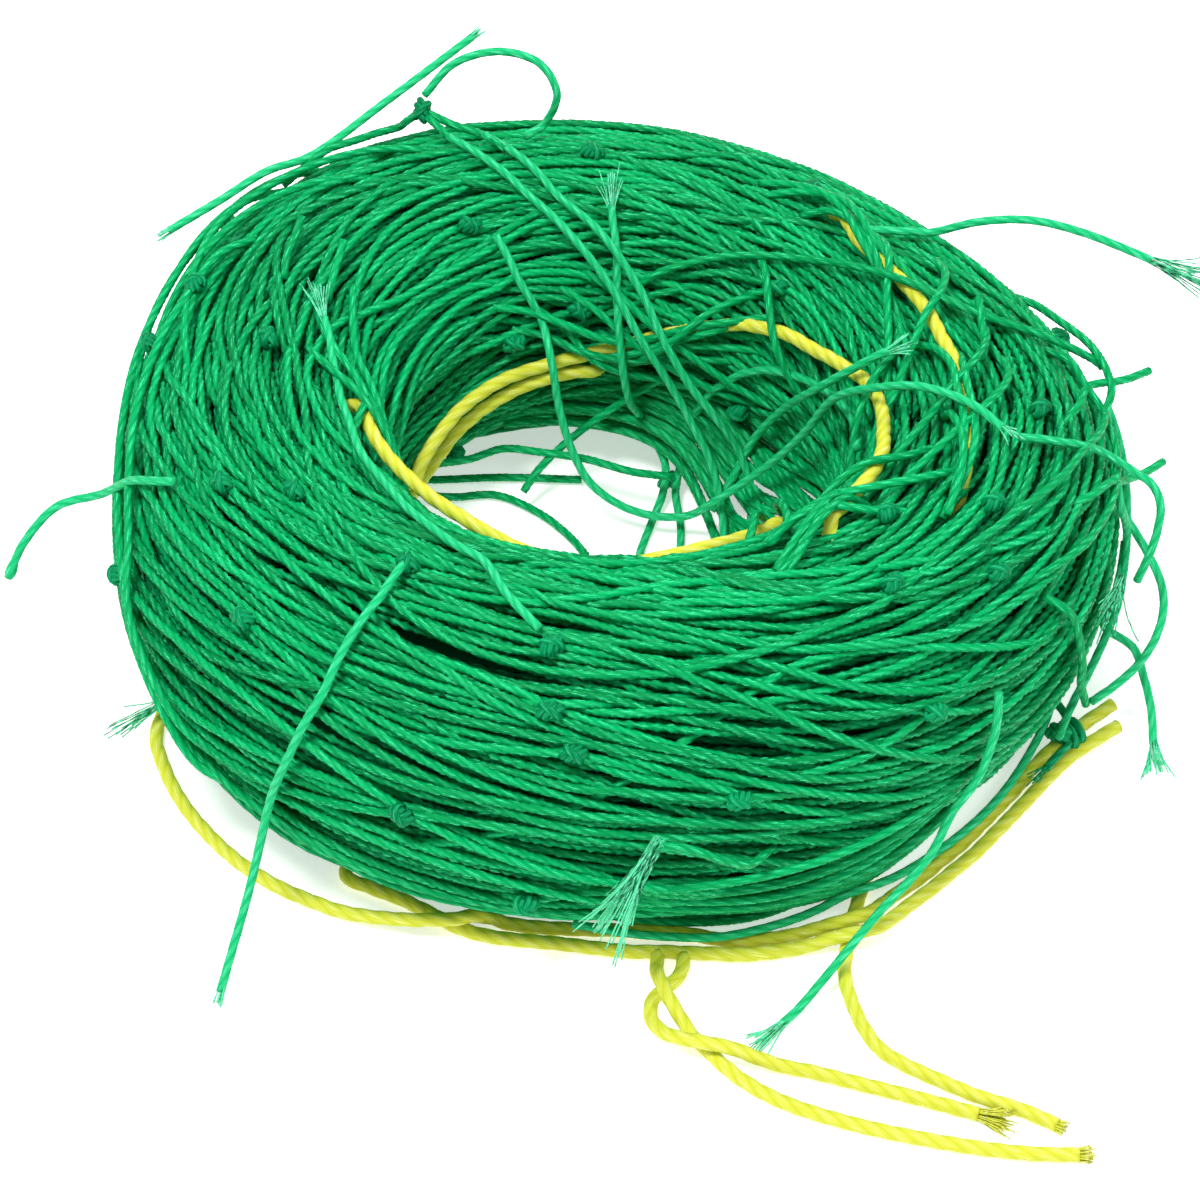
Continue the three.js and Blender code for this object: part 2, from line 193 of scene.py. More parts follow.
def ranged(value, low, high):
    return value.node("ShaderNodeMapRange", 0, {"interpolation_type": "SMOOTHSTEP"},
                      {0: value, 1: low, 2: high, 3: 0.0, 4: 1.0})


def fibreMaterial(name, look):
    material = bpy.data.materials.new(name)
    material.use_nodes = True
    tree = material.node_tree
    shader = tree.nodes["Principled BSDF"]
    start = Value(tree)
    place = start.node("ShaderNodeUVMap", 0, {"uv_map": "fibre"})
    u = start.node("ShaderNodeSeparateXYZ", 0, None, {0: place})
    v = start.node("ShaderNodeSeparateXYZ", 1, None, {0: place})
    around, along, slip = look["filaments"]
    turn = (u + v * slip) * (2 * math.pi)
    filament = start.node("ShaderNodeCombineXYZ", 0, None, {
        0: start.maths("COSINE", turn) * around, 1: start.maths("SINE", turn) * around, 2: v * along})
    streaks = start.node("ShaderNodeTexNoise", 0, None, {
        "Vector": filament, "Scale": 1.0, "Detail": fibreLook["detail"]})
    silk = ranged(streaks, *fibreLook["silk"])
    half = fibreLook["strands"] * math.pi
    crest = start.maths("ABSOLUTE", start.maths("COSINE", u * half))  # 1 on a strand, 0 in a groove
    tone = start.node("ShaderNodeAttribute", 2, {"attribute_name": "tone"})
    body = mixColors(tone, look["dark"], look["bright"])
    # painted shade: the colour darkens into the grooves of the lay
    laid = mixColors(ranged(crest, *fibreLook["grooveShadeCrest"]), look["groove"], body)
    # painted highlight: the base colour turns pale on the strand crests, where the streaks run
    paintedHighlightMask = ranged(crest, *fibreLook["paintedHighlightCrest"]) * ranged(streaks, *fibreLook["paintedHighlightStreaks"])
    color = mixColors(paintedHighlightMask, laid, look["paintedHighlight"])
    tree.links.new(color.socket, shader.inputs["Base Color"])
    streaked, stranded = fibreLook["bumpShares"]
    bump = start.node("ShaderNodeBump", 0, None, {
        "Strength": look["bump"], "Distance": fibreLook["bumpDepth"],
        "Height": streaks * streaked + crest * stranded})
    tree.links.new(bump.socket, shader.inputs["Normal"])
    roughness = fibreLook["roughness"] - silk * fibreLook["silkRoughness"]
    tree.links.new(roughness.socket, shader.inputs["Roughness"])
    shader.inputs["Specular IOR Level"].default_value = fibreLook["specular"]
    return material


greenFibre = fibreMaterial("greenFibre", netGreen)
darkGreenFibre = fibreMaterial("darkGreenFibre", knotGreen)
paleGreenFibre = fibreMaterial("paleGreenFibre", looseGreen)
greenWisps = fibreMaterial("greenWisps", wispGreen)
yellowFibre = fibreMaterial("yellowFibre", ropeYellow)
print("fibre materials are made")

# The wound ring's shape, with one value for each eighth of a turn from +X towards +Y

ringShape = {
    "inner": (0.031, 0.0295, 0.029, 0.031, 0.031, 0.027, 0.0255, 0.027),
    "outer": (0.070, 0.066, 0.0702, 0.0752, 0.0705, 0.0725, 0.0695, 0.068),
    "height": (0.044, 0.0425, 0.0435, 0.046, 0.047, 0.048, 0.049, 0.047),
    "twistOut": (-42.0, -2.0, 0.0, 0.0, 2.0, 20.0, 5.0, -35.0),  # degrees round the section
    "twistIn": (44.0, 11.0, 0.0, 12.0, 26.0, 30.0, 32.0, 38.0),
    "belly": 0.48,
    "crownPower": 2.4,
    "footPower": 2.0,
}
twine = {"diameter": 0.00125, "lay": 0.0084, "groove": 0.06}
rope = {"diameter": 0.002, "lay": 0.0092, "groove": 0.11}
clearance = 0.0004
floorClearance = 0.00005


def ringSize(column, azimuth):
    rows = np.array(ringShape[column])
    place = np.mod(np.asarray(azimuth, float) / 360.0 * len(rows), len(rows))
    row = np.floor(place).astype(int) % len(rows)
    f = place - np.floor(place)
    a, b, c, d = (rows[(row + k) % len(rows)] for k in (-1, 0, 1, 2))
    return b + 0.5 * f * (c - a + f * (2 * a - 5 * b + 4 * c - d + f * (3 * (b - c) + d - a)))


def sectionReach(section):
    c, s = np.cos(np.radians(section)), np.sin(np.radians(section))
    power = np.where(s > 0, ringShape["crownPower"], ringShape["footPower"])
    return (np.abs(c) ** power + np.abs(s) ** power) ** (-1 / power)


def sectionPoint(azimuth, section, lift):  # distance from the axis and height
    inner, outer, height = (ringSize(k, azimuth) for k in ("inner", "outer", "height"))
    c, s = np.cos(np.radians(section)), np.sin(np.radians(section))
    reach = sectionReach(section)
    radius = (inner + outer) / 2 + ((outer - inner) / 2 * reach + lift) * c
    z = ringShape["belly"] * height + ((1 - ringShape["belly"]) * height * reach + lift) * s
    return np.stack([radius, np.maximum(z, 0)], axis=-1)


def spun(azimuth, flat):  # a point of the section, turned to its azimuth
    turn = np.radians(azimuth)
    return np.stack([flat[..., 0] * np.cos(turn), flat[..., 0] * np.sin(turn), flat[..., 1]], axis=-1)


def onRing(azimuth, section, lift):
    return spun(np.asarray(azimuth, float), sectionPoint(azimuth, section, lift))


def twisted(azimuth, start):
    out = (1 + np.cos(np.radians(start))) / 2
    return start + out * ringSize("twistOut", azimuth) + (1 - out) * ringSize("twistIn", azimuth)


# Tubes as arrays of points and faces

curveSteps = 24  # between two points of a curve
uvScale = 100  # lengths along a twine count in centimetres


def unit(v):
    return v / np.maximum(np.linalg.norm(v, axis=-1, keepdims=True), 1e-12)


def smoothLine(points, step):  # a centripetal curve through the points, in even steps
    p = np.asarray(points, float)
    p = np.vstack([2 * p[0] - p[1], p, 2 * p[-1] - p[-2]])
    pieces = []
    for a, b, c, d in zip(p, p[1:], p[2:], p[3:]):
        ta, tb, tc = (max(np.linalg.norm(v), 1e-9) ** 0.5 for v in (b - a, c - b, d - c))
        first = ((b - a) / ta - (c - a) / (ta + tb) + (c - b) / tb) * tb
        second = ((c - b) / tb - (d - b) / (tb + tc) + (d - c) / tc) * tb
        f = np.linspace(0, 1, curveSteps + 1)[:-1, None]
        cubic = 2 * b - 2 * c + first + second
        square = -3 * b + 3 * c - 2 * first - second
        pieces.append(b + f * (first + f * (square + f * cubic)))
    fine = np.vstack(pieces + [p[-2:-1]])
    return evenLine(fine, step)


def evenLine(fine, step):
    along = np.concatenate([[0], np.cumsum(np.linalg.norm(np.diff(fine, axis=0), axis=1))])
    count = max(4, int(round(along[-1] / step)))
    marks = np.linspace(0, along[-1], count + 1)
    return np.stack([np.interp(marks, along, fine[:, k]) for k in range(3)], axis=1)


def lineLength(line):
    return float(np.linalg.norm(np.diff(line, axis=0), axis=1).sum())


def tangents(line, axis):
    if axis is not None:
        return unit(np.roll(line, -1, 0) - np.roll(line, 1, 0))
    return unit(np.gradient(line, axis=0))


def carriedFrames(line, axis):  # a pair of directions square to the line, turning as little as they can
    t = tangents(line, axis)
    if axis is not None:
        side = unit(np.cross(t, axis))
        return side, np.cross(t, side)
    side = np.empty_like(line)
    aside = np.array((0.0, 0.0, 1.0)) if abs(t[0, 2]) < 0.8 else np.array((1.0, 0.0, 0.0))
    side[0] = unit(np.cross(t[0], aside))
    for k in range(1, len(line)):
        side[k] = unit(side[k - 1] - t[k] * np.dot(side[k - 1], t[k]))
    return side, np.cross(t, side)


def twistedTube(line, laid, sides, tone, axis=None, swell=None, phase=0.0):
    closed = axis is not None  # a closed line turns round this axis
    after = np.roll(line, -1, 0) if closed else line[1:]
    steps = np.linalg.norm(after - line[:len(after)], axis=1)
    along = np.concatenate([[0], np.cumsum(steps)])
    total = along[-1]
    along = along[:len(line)]
    strands = fibreLook["strands"]
    meets = max(1, round(strands * total / laid["lay"]))  # a closed turn meets itself strand on strand
    lay = strands * total / meets if closed else laid["lay"]
    side, up = carriedFrames(line, axis)
    spot = np.arange(sides) / sides
    lobe = 1 - laid["groove"] * (1 - np.abs(np.cos(strands * np.pi * spot)))
    angle = 2 * np.pi * (spot[None, :] + along[:, None] / lay) + phase
    reach = laid["diameter"] / 2 * lobe[None, :]
    if swell is not None:
        reach = reach * swell[:, None]
    points = line[:, None, :] + reach[..., None] * (
        np.cos(angle)[..., None] * side[:, None, :] + np.sin(angle)[..., None] * up[:, None, :])
    rings = len(line)
    first = np.arange(rings if closed else rings - 1)
    last = first + 1
    a, b = np.meshgrid(first, np.arange(sides), indexing="ij")
    c = np.meshgrid(last % rings, np.arange(sides), indexing="ij")[0]
    d = (b + 1) % sides
    quads = np.stack([a * sides + b, a * sides + d, c * sides + d, c * sides + b], axis=-1).reshape(-1, 4)
    far = np.concatenate([along, [total]])[last]
    v0 = np.broadcast_to(along[first][:, None], b.shape) * uvScale
    v1 = np.broadcast_to(far[:, None], b.shape) * uvScale
    u0, u1 = b / sides, (b + 1) / sides
    uv = np.stack([np.stack([u0, v0], -1), np.stack([u1, v0], -1), np.stack([u1, v1], -1),
                   np.stack([u0, v1], -1)], axis=2).reshape(-1, 2)
    made = {"points": points.reshape(-1, 3), "quads": quads, "quadUv": uv,
            "tone": np.full(rings * sides, tone), "tris": np.zeros((0, 3), int), "triUv": np.zeros((0, 2))}
    if not closed:
        centre = len(made["points"])
        made["points"] = np.vstack([made["points"], line[:1], line[-1:]])
        made["tone"] = np.append(made["tone"], [tone, tone])
        k = np.arange(sides)
        n = (k + 1) % sides
        start = np.stack([np.full(sides, centre), n, k], axis=1)
        end = np.stack([np.full(sides, centre + 1), (rings - 1) * sides + k, (rings - 1) * sides + n], axis=1)
        made["tris"] = np.vstack([start, end])
        made["triUv"] = np.tile([[0.5, 0.0], [0.0, 0.0], [1.0, 0.0]], (2 * sides, 1))
    return made


def joined(parts):
    offset = 0
    grown = {k: [] for k in ("points", "quads", "quadUv", "tone", "tris", "triUv")}
    for part in parts:
        for key in grown:
            grown[key].append(part[key] + offset if key in ("quads", "tris") else part[key])
        offset += len(part["points"])
    return {k: np.concatenate(v) for k, v in grown.items()}


def addPiece(name, made, material):
    mesh = bpy.data.meshes.new(name)
    mesh.vertices.add(len(made["points"]))
    mesh.vertices.foreach_set("co", made["points"].astype(np.float32).ravel())
    corners = np.concatenate([made["quads"].ravel(), made["tris"].ravel()]).astype(np.int32)
    starts = np.concatenate([np.arange(len(made["quads"])) * 4,
                             4 * len(made["quads"]) + np.arange(len(made["tris"])) * 3]).astype(np.int32)
    mesh.loops.add(len(corners))
    mesh.loops.foreach_set("vertex_index", corners)
    mesh.polygons.add(len(starts))
    mesh.polygons.foreach_set("loop_start", starts)
    layer = mesh.uv_layers.new(name="fibre")
    layer.data.foreach_set("uv", np.concatenate([made["quadUv"], made["triUv"]]).astype(np.float32).ravel())
    tone = mesh.attributes.new("tone", "FLOAT", "POINT")
    tone.data.foreach_set("value", made["tone"].astype(np.float32))
    mesh.update(calc_edges=True)
    mesh.shade_smooth()
    mesh.materials.append(material)
    piece = bpy.data.objects.new(name, mesh)
    scene.collection.objects.link(piece)
    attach(piece, "root")
    return piece


# Frayed tips: thin filaments that splay ahead of a cut end

filamentLook = {
    "diameter": 0.00024,
    "lay": 0.01,
    "groove": 0.0,
    "sides": 3,
    "rows": 7,
    "aside": (0.21, 0.13, 1.0),  # a way that no tip points
    "rooted": 0.0012,  # how far back in the twine a filament starts
    "length": (0.55, 1.05),  # shares of the tip's length, of the twine's width and of the spread
    "root": (0.1, 0.4),
    "spread": (0.1, 1.0),
    "stray": 0.08,
    "most": 0.006,  # farthest aside
    "floor": 0.0003,
    "tone": (0.7, 1.1),
}


def frayedTip(tip, ahead, count, length, spread, width, tone, most=filamentLook["most"]):
    look = filamentLook
    ahead = unit(np.asarray(ahead, float))
    side = unit(np.cross(ahead, look["aside"]))
    up = np.cross(ahead, side)
    f = np.linspace(0, 1, look["rows"])[:, None]
    tubes = []
    for _ in range(count):
        turn = random.uniform(0, fullTurn)
        out = math.cos(turn) * side + math.sin(turn) * up
        far = length * random.uniform(*look["length"])
        aside = out * width * random.uniform(*look["root"])
        aside = aside + out * spread * random.uniform(*look["spread"]) * f ** 1.5
        aside = aside + random.normal(0, look["stray"], 3) * far * f ** 2
        aside = aside * np.minimum(1, most / np.maximum(np.linalg.norm(aside, axis=1), 1e-9))[:, None]
        line = tip - look["rooted"] * ahead + ahead * (far + look["rooted"]) * f + aside
        line[:, 2] = np.maximum(line[:, 2], look["floor"])
        tubes.append(twistedTube(line, look, look["sides"], tone * random.uniform(*look["tone"])))
    splayed = joined(tubes)
    splayed["quadUv"][:, 0] = 0  # a filament has no groove, so it gets no painted groove shade and takes the painted highlight all round
    return splayed


# Loose ends of twine. Two numbers lie on the ring: azimuth and section angle, in degrees.
# Three numbers stand free: x, y and z, in millimetres. A fray is its filaments, their length and spread.

looseTwine = {
    "looseEndBackLeft": {"nodes": ("loose_end_back_left",), "frayStart": (12, 0.002, 0.0004),
        "frayEnd": (12, 0.002, 0.0004), "route": (
        (-65, 35, 41.4), (-57, 40.4, 43.2), (-50.4, 45.6, 44.4), (131, 54), (-33, 59, 47),
        (-20, 69, 51.6))},
    "netLoop": {"nodes": ("net_loop",), "route": (
        (-27.8, 57, 49.3), (-23.4, 58.4, 54), (-16.8, 58.6, 56), (-11, 57, 55), (-8.6, 55, 51.2), (101, 74),
        (104, 81))},
    "netStrandAcross1": {"nodes": ("net_strand_across_1",), "route": (
        (115, 76), (112, 92), (108, 110), (-7.6, 33.8, 44), (-1.4, 28.6, 38.4), (3.4, 24.6, 31),
        (8, 22.4, 23.4), (11.2, 20.6, 17.4), (13.8, 18.4, 12), (15.2, 14.6, 7), (15.6, 9, 2),
        (15.6, 4, 0.7))},
    "netStrandAcross2": {"nodes": ("net_strand_across_2",), "route": (
        (110, 78), (106, 94), (102, 112), (-2.4, 33.4, 43.4), (3, 28.4, 37.6), (6.6, 24, 31.4),
        (10.4, 21.4, 25), (14.2, 20, 20), (17.6, 19.4, 14), (19.4, 17, 9), (19.4, 14, 4.4), (18.8, 10, 1.2),
        (18.2, 5, 0.7))},
    "looseEndForked": {"nodes": ("loose_end_forked", "hole_leg_1"),
        "frayStart": (18, 0.006, 0.002), "route": (
        (91, 106), (91, 120), (90, 134), (90, 146), (0.2, 27, 32.6), (0.8, 24.2, 26), (1.8, 24.6, 19.2),
        (2.9, 27.6, 14.3), (82, 207), (6, 27.8, 7.4), (7.2, 26.1, 4.8), (6.9, 23.2, 2.4), (5.2, 18.2, 1),
        (3.4, 11.8, 0.7), (2.6, 5, 0.7))},
    "holeArc": {"nodes": ("hole_arc", "hole_leg_2"), "route": (
        (9, 5, 0.7), (9.2, 11.4, 0.7), (9.4, 17, 1), (8.7, 23.2, 2.4), (9.4, 26.4, 4.4), (10.4, 28, 7.2),
        (70, 203), (66, 192), (61, 179), (52, 166), (44, 159), (36, 155), (25, 151), (14, 148), (2, 145),
        (-8, 142))},
    "holeSweep": {"nodes": ("hole_sweep",), "frayEnd": (8, 0.003, 0.001), "route": (
        (117, 126), (115, 142), (111, 156), (-9.4, 23.6, 28), (-8.2, 21.6, 20), (-6.4, 20, 13.4),
        (-3.8, 18.6, 8.4), (0.4, 17.4, 5.2), (5, 16.2, 4.2), (10, 15.4, 4.8), (14, 13.4, 9.6),
        (18.4, 13.2, 13.8), (23, 11.4, 20.4), (26.4, 8.4, 28), (30, 4, 38.4), (34.8, -1, 44.8),
        (41.2, -5.4, 49), (47.6, -9.4, 49.4), (52.6, -15.4, 49))},
    "looseEndLeftLip": {"nodes": ("loose_end_left_lip",), "frayStart": (22, 0.007, 0.0016), "route": (
        (158, 110), (168, 120), (178, 125), (190, 127), (215, 121), (232, 113), (246, 104), (259, 78))},
    "looseEndLeft": {"nodes": ("loose_end_left",), "route": (
        (199, 58), (193, 42), (-70.6, -10.2, 33.6), (-77, -9.4, 30.4), (-81.6, -12, 26), (-84, -13.6, 21))},
    "looseEndFrontLeft": {"nodes": ("loose_end_front_left",), "frayEnd": (12, 0.002, 0.0004), "route": (
        (235, 92), (236, 78), (236, 60), (236, 44), (234, 22), (232, 4), (-48.8, -61.6, 10),
        (-51.2, -67, 3.6), (-52.8, -72.6, 0.7))},
    "looseEndBackRight": {"nodes": ("loose_end_back_right",), "frayEnd": (28, 0.011, 0.0024), "route": (
        (44, 88), (40, 76), (38, 66), (51.4, 32.4, 46.2), (58.4, 32.2, 46.6), (65.4, 31.6, 45),
        (74.2, 31.2, 41), (82.4, 31, 36.6))},
    "looseLoopRight": {"nodes": ("loose_loop_right",), "route": (
        (348, 76), (350, 62), (354, 42), (70.8, -7.4, 35), (73, -8.6, 34), (74.2, -10.4, 32),
        (74, -11.8, 28.4), (73.2, -12.8, 25), (71.8, -13.2, 20))},
    "looseStrandRight": {"nodes": ("loose_strand_right",), "route": (
        (7, 30), (3, 20), (-1, 10), (-3.5, 5), (71.8, -5, 22), (73.6, -7, 19.8), (75.8, -9.8, 16),
        (76.2, -11.8, 12.6), (75, -15, 10.4), (72.4, -19, 9.4), (68.8, -22.8, 9), (65.4, -25.8, 9))},
    "looseEndRightLow": {"nodes": ("loose_end_right_low",), "frayEnd": (20, 0.006, 0.002), "route": (
        (356, -4), (352, -14), (349, -24.5), (72, -15.4, 9), (73.6, -17.6, 5.4), (74.6, -21, 2.4),
        (74.6, -26, 0.7))},
    "looseEndFrontRight": {"nodes": ("loose_end_front_right",), "frayEnd": (22, 0.007, 0.0022), "route": (
        (317, 22), (316, 8), (314, -6), (311, -18), (41.8, -54.8, 10.4), (38.6, -58.4, 8.6), (35, -62, 7.2),
        (31, -66.8, 5.8), (27, -71, 3.4), (23, -75, 1.2), (18, -79.6, 0.7))},
    "holeEndRight": {"nodes": (), "frayStart": (12, 0.004, 0.0014), "route": (
        (39.8, 6.6, 46.2), (36.2, 6, 44.8), (31.8, 6.8, 40.8), (27.2, 9.8, 34.4), (23.5, 16.6, 24.6),
        (19.8, 19.6, 16.2), (16.8, 18.6, 9.4), (13.8, 16.2, 5.2))},
    "strandAlongRopes": {"nodes": (), "route": (
        (-6, -61, 3), (0.3, -62.4, 2.9), (6.9, -63.2, 2.9), (13.5, -63.2, 2.9), (20.8, -61.2, 2.9),
        (26.2, -58.8, 3), (30.6, -57.2, 4.6), (35, -54.6, 3.8), (38.8, -51.6, 2.9), (46.3, -45.2, 2.9),
        (52.1, -38.4, 3), (56.6, -31.2, 3.8), (59.4, -26.2, 6.2), (60.8, -22.2, 9.5), (61.2, -18, 13.5))},
    "looseStrandRightInner": {"nodes": (), "route": (
        (353, 34), (351, 26), (70.9, -5.6, 21.5), (70.6, -8.2, 17), (69.8, -11.2, 13), (67.8, -15.4, 10.4),
        (65.5, -19.6, 8.2), (62.4, -26.4, 8), (60.6, -31, 7.2))},
}
looseTwineLook = {"step": 0.0007, "sides": 12, "tone": (0.55, 0.85)}
frayShare = 0.7  # of a fray's length is taken off its cord
shortestCord = 0.032  # nothing is taken off past this
paler = 0.25  # a frayed tip's tone, past its cord's
meltedTip = (1.15, 1.35, 1.35, 1.0)  # looseEndLeft is melted to a drop


def free(x, y, z):
    return np.array((x, y, z)) / 1000


def routeLine(route, laid, step, lifted=False):  # with lifted, three numbers end in a lift off the ring
    lift = laid["diameter"] / 2 + clearance
    points = []
    for k, row in enumerate(route):
        if isinstance(row, np.ndarray):
            points.append(row)
            continue
        if len(row) == 3:
            points.append(onRing(row[0], row[1], row[2] / 1000) if lifted else free(*row))
            continue
        points.append(onRing(row[0], row[1], lift))
        following = route[k + 1] if k + 1 < len(route) else ()
        if len(following) == 2:
            points.append(onRing((row[0] + following[0]) / 2, (row[1] + following[1]) / 2, lift))
    return smoothLine(points, step)


def makeCord(name, line, laid, look, material, slot, nodes, frays=(None, None), swell=None):
    tone = random.uniform(*look["tone"])
    for fray, last in zip(frays, (False, True)):  # the splayed part belongs to the cord's length
        short = int(frayShare * fray[1] / look["step"]) if fray else 0
        if short and lineLength(line) - short * look["step"] > shortestCord:
            line = line[:-short] if last else line[short:]
    if swell is not None:
        swell = swell[-len(line):]
    piece = addPiece(name, twistedTube(line, laid, look["sides"], tone, swell=swell), material)
    for fray, word, tip, ahead in zip(frays, ("Start", "Tip"), (line[0], line[-1]),
                                      (line[0] - line[4], line[-1] - line[-5])):
        if fray:
            splayed = frayedTip(tip, ahead, *fray, laid["diameter"], tone + paler)
            finish = greenWisps if slot == "net_green" else material
            addPiece(f"{name}{word}", splayed, finish)
    if nodes:
        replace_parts(piece, *nodes)


for name, end in looseTwine.items():
    line = routeLine(end["route"], twine, looseTwineLook["step"])
    swell = np.ones(len(line))
    if name == "looseEndLeft":
        swell[-len(meltedTip):] = meltedTip
    makeCord(name, line, twine, looseTwineLook, paleGreenFibre, "net_green", end["nodes"],
             (end.get("frayStart"), end.get("frayEnd")), swell)
print("loose twine ends are laid:", len(looseTwine))

# The border rope: where it shows on the ring, at the foot, and its free ends

woundRopes = {
    "ropeInnerHigh": ("border_rope_inner_high", (
        (162, 191), (155, 187), (148, 184), (140, 180.5), (125, 176.5), (112, 174), (101, 171), (86, 165),
        (66, 154), (54, 147), (41, 142.5), (30, 141), (20, 138), (12, 134.5), (4, 132), (-6, 129),
        (-12, 126.5), (-18, 122.5), (-28, 117), (-37, 113), (-46, 108))),
    "ropeInnerLow": ("border_rope_inner_low", (
        (165, 212), (155, 204), (148, 197), (141, 190.5), (132, 186.5), (125, 184), (118, 181.5), (112, 180),
        (104, 178), (96, 177))),
    "ropeInnerFront": ("border_rope_inner_front", (
        (183, 134), (200, 139), (225, 146), (240, 153), (252, 155), (272, 155), (282, 152), (296, 149),
        (310, 150), (322, 152))),
    "ropeCrown": ("border_rope_crown", (
        (49, 87), (42, 95), (34, 98), (23, 100), (12, 102), (3, 101), (-5, 99), (-15, 92.5), (-18, 91))),
}
footRopes = {  # azimuth, millimetres out from where a rope on the floor meets the ring, and lift
    "ropeFootOuter": ("border_rope_foot_outer", (
        (188, -6, 3), (194, 1, 1), (201, 6.1, 0), (206, 7, 0), (211, 7.4, 0), (216, 7.5, 0), (223, 7.4, 0),
        (229, 6.9, 0), (234, 6.1, 0), (237, 5.7, 0.1), (240, 5.1, 0.5), (243, 4.7, 1.3), (246, 4.4, 2.2),
        (248, 3.7, 2.4), (250, 2.7, 2.2), (252, 1.1, 1.8), (254, 0.1, 0.8), (256, 0, 0.1), (260, 0, 0),
        (268, 0, 0), (275, 0.6, 0), (278, 1.5, 0), (281, 2.9, 0), (284, 4.5, 0), (287, 5.2, 0),
        (290, 5.8, 0), (292, 6.2, 0.2), (294, 7, 1.1), (296.5, 8.4, 2.5), (299, 8.8, 2.5), (302, 7.3, 0.9),
        (305, 6.2, 0), (309, 5.9, 0), (312, 5.5, 0), (316, 5.3, 0), (320, 4.9, 0), (324, 4.7, 0),
        (328, 4.7, 0), (331, 4.8, 0.4), (334, 5.6, 1.3), (339, 7.9, 2.1), (343, 10.7, 2.4))),
    "ropeFootInner": ("border_rope_foot_inner", (
        (231, -14, 0), (232.6, -5.5, 0), (234, -0.1, 0), (238, 0, 0), (242, 0, 0), (245, 0.5, 0),
        (248, 1.3, 0), (250, 2, 0), (253, 2.5, 0), (256, 2.6, 0), (260, 2.5, 0), (263, 2.6, 0),
        (268, 3.3, 0), (272, 4, 0), (275, 4.3, 0), (278, 5, 0), (281, 5.8, 0), (284, 6.9, 0), (287, 7.6, 0),
        (290, 8.2, 0), (292, 8.6, 0.2), (294, 9.4, 1.2), (296.5, 10.9, 2.5), (299, 11.4, 2.4),
        (302, 10, 0.9), (305, 8.8, 0), (309, 8.3, 0), (312, 7.9, 0), (316, 7.7, 0), (320, 7.3, 0),
        (324, 7.1, 0), (328, 7.1, 0), (332, 7.4, 0), (335, 8.2, 0.3), (338, 10, 0.8), (341, 12.4, 1.2))),
}
ropeEnds = {
    "ropeEndLong": ("border_rope_end_long", (
        (5.2, -64.6, 1.05), (5.1, -67.7, 1.7), (5.1, -69.3, 2.9), (5.5, -71.2, 3.6), (6.4, -73.6, 3.4),
        (8, -76.4, 2.4), (9.8, -78.9, 1.2), (11.6, -81, 1.05), (14.2, -84.2, 1.05), (17.4, -87.1, 1.05),
        (21.8, -89.9, 1.05), (30.8, -93.4, 1.05), (43.6, -96.6, 1.05), (52, -97.9, 1.05),
        (60, -98.2, 1.05))),
    "ropeEndShort": ("border_rope_end_short", (
        (8.7, -64.9, 1.05), (8.4, -67.6, 1.05), (7.2, -69.6, 1.05), (5.6, -71.2, 1.05), (4.4, -73, 1.05),
        (4.3, -75.6, 1.1), (5.7, -78.6, 2), (8.2, -80.9, 3.3), (11.6, -81.9, 3.6), (15, -82.5, 3.1),
        (18.4, -83.2, 1.9), (21.6, -83.8, 1.1), (25, -84.6, 1.05), (30.6, -86.4, 1.05), (39, -89.1, 1.05),
        (49.2, -92.6, 1.05))),
    "ropeEndRight": ("border_rope_end_right", (
        (34, -49, 1.05), (32.8, -53.4, 1.05), (31.6, -58, 1.05), (30.6, -63, 1.05), (30, -68.4, 1.05),
        (31.1, -74.2, 1.05), (32.3, -77.6, 1.05), (34.1, -80.8, 1.05), (36.6, -83, 1.05),
        (41.7, -86.1, 1.05), (46.7, -88.8, 1.05), (51.7, -90.8, 1.05), (56.9, -93.7, 1.05))),
}
ropeLook = {
    "step": 0.0006,
    "sides": 18,
    "tone": (0.5, 0.65),
    "sink": ((3, 0.0016), (6, 0.0056), (9, 0.009)),  # degrees past the end, depth
    "frays": {"ropeEndLong": (40, 0.002, 0.0005), "ropeEndShort": (46, 0.0045, 0.0015),
              "ropeEndRight": (40, 0.0012, 0.0003)},
}


def tucked(route, sink):  # carries both ends on, down under the turns
    (a, s), (b, t) = route[0], route[1]
    way = math.copysign(1.0, a - b)
    head = [onRing(a + way * d, s + (s - t) * d / abs(a - b), -h) for d, h in sink[::-1]]
    (a, s), (b, t) = route[-1], route[-2]
    tail = [onRing(a - way * d, s + (s - t) * d / abs(a - b), -h) for d, h in sink]
    return (*head, *route, *tail)


def atFoot(azimuth, out, lift):
    height = rope["diameter"] / 2 + floorClearance
    seat = rope["diameter"] / 2 + clearance
    tall = float(ringSize("height", azimuth))
    drop = (1 - ringShape["belly"]) * tall + seat
    section = math.degrees(math.asin((height - ringShape["belly"] * tall) / drop))
    radius = sectionPoint(azimuth, section, seat)[0] + out / 1000
    return spun(azimuth, np.array((radius, height + lift / 1000)))


def footLine(rows):
    return smoothLine([atFoot(*row) for row in rows], ropeLook["step"])


def layRope(name, line, node):
    made = twistedTube(line, rope, ropeLook["sides"], random.uniform(*ropeLook["tone"]))
    piece = addPiece(name, made, yellowFibre)
    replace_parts(piece, node)


for name, (node, route) in woundRopes.items():
    layRope(name, routeLine(tucked(route, ropeLook["sink"]), rope, ropeLook["step"]), node)
for name, (node, rows) in footRopes.items():
    layRope(name, footLine(rows), node)
for name, (node, route) in ropeEnds.items():
    line = routeLine(route, rope, ropeLook["step"])
    makeCord(name, line, rope, ropeLook, yellowFibre, "rope_yellow", (node,),
             (None, ropeLook["frays"][name]))
print("border rope is laid")

# The wound turns of twine: points in many sections of the ring, which settle apart from each other

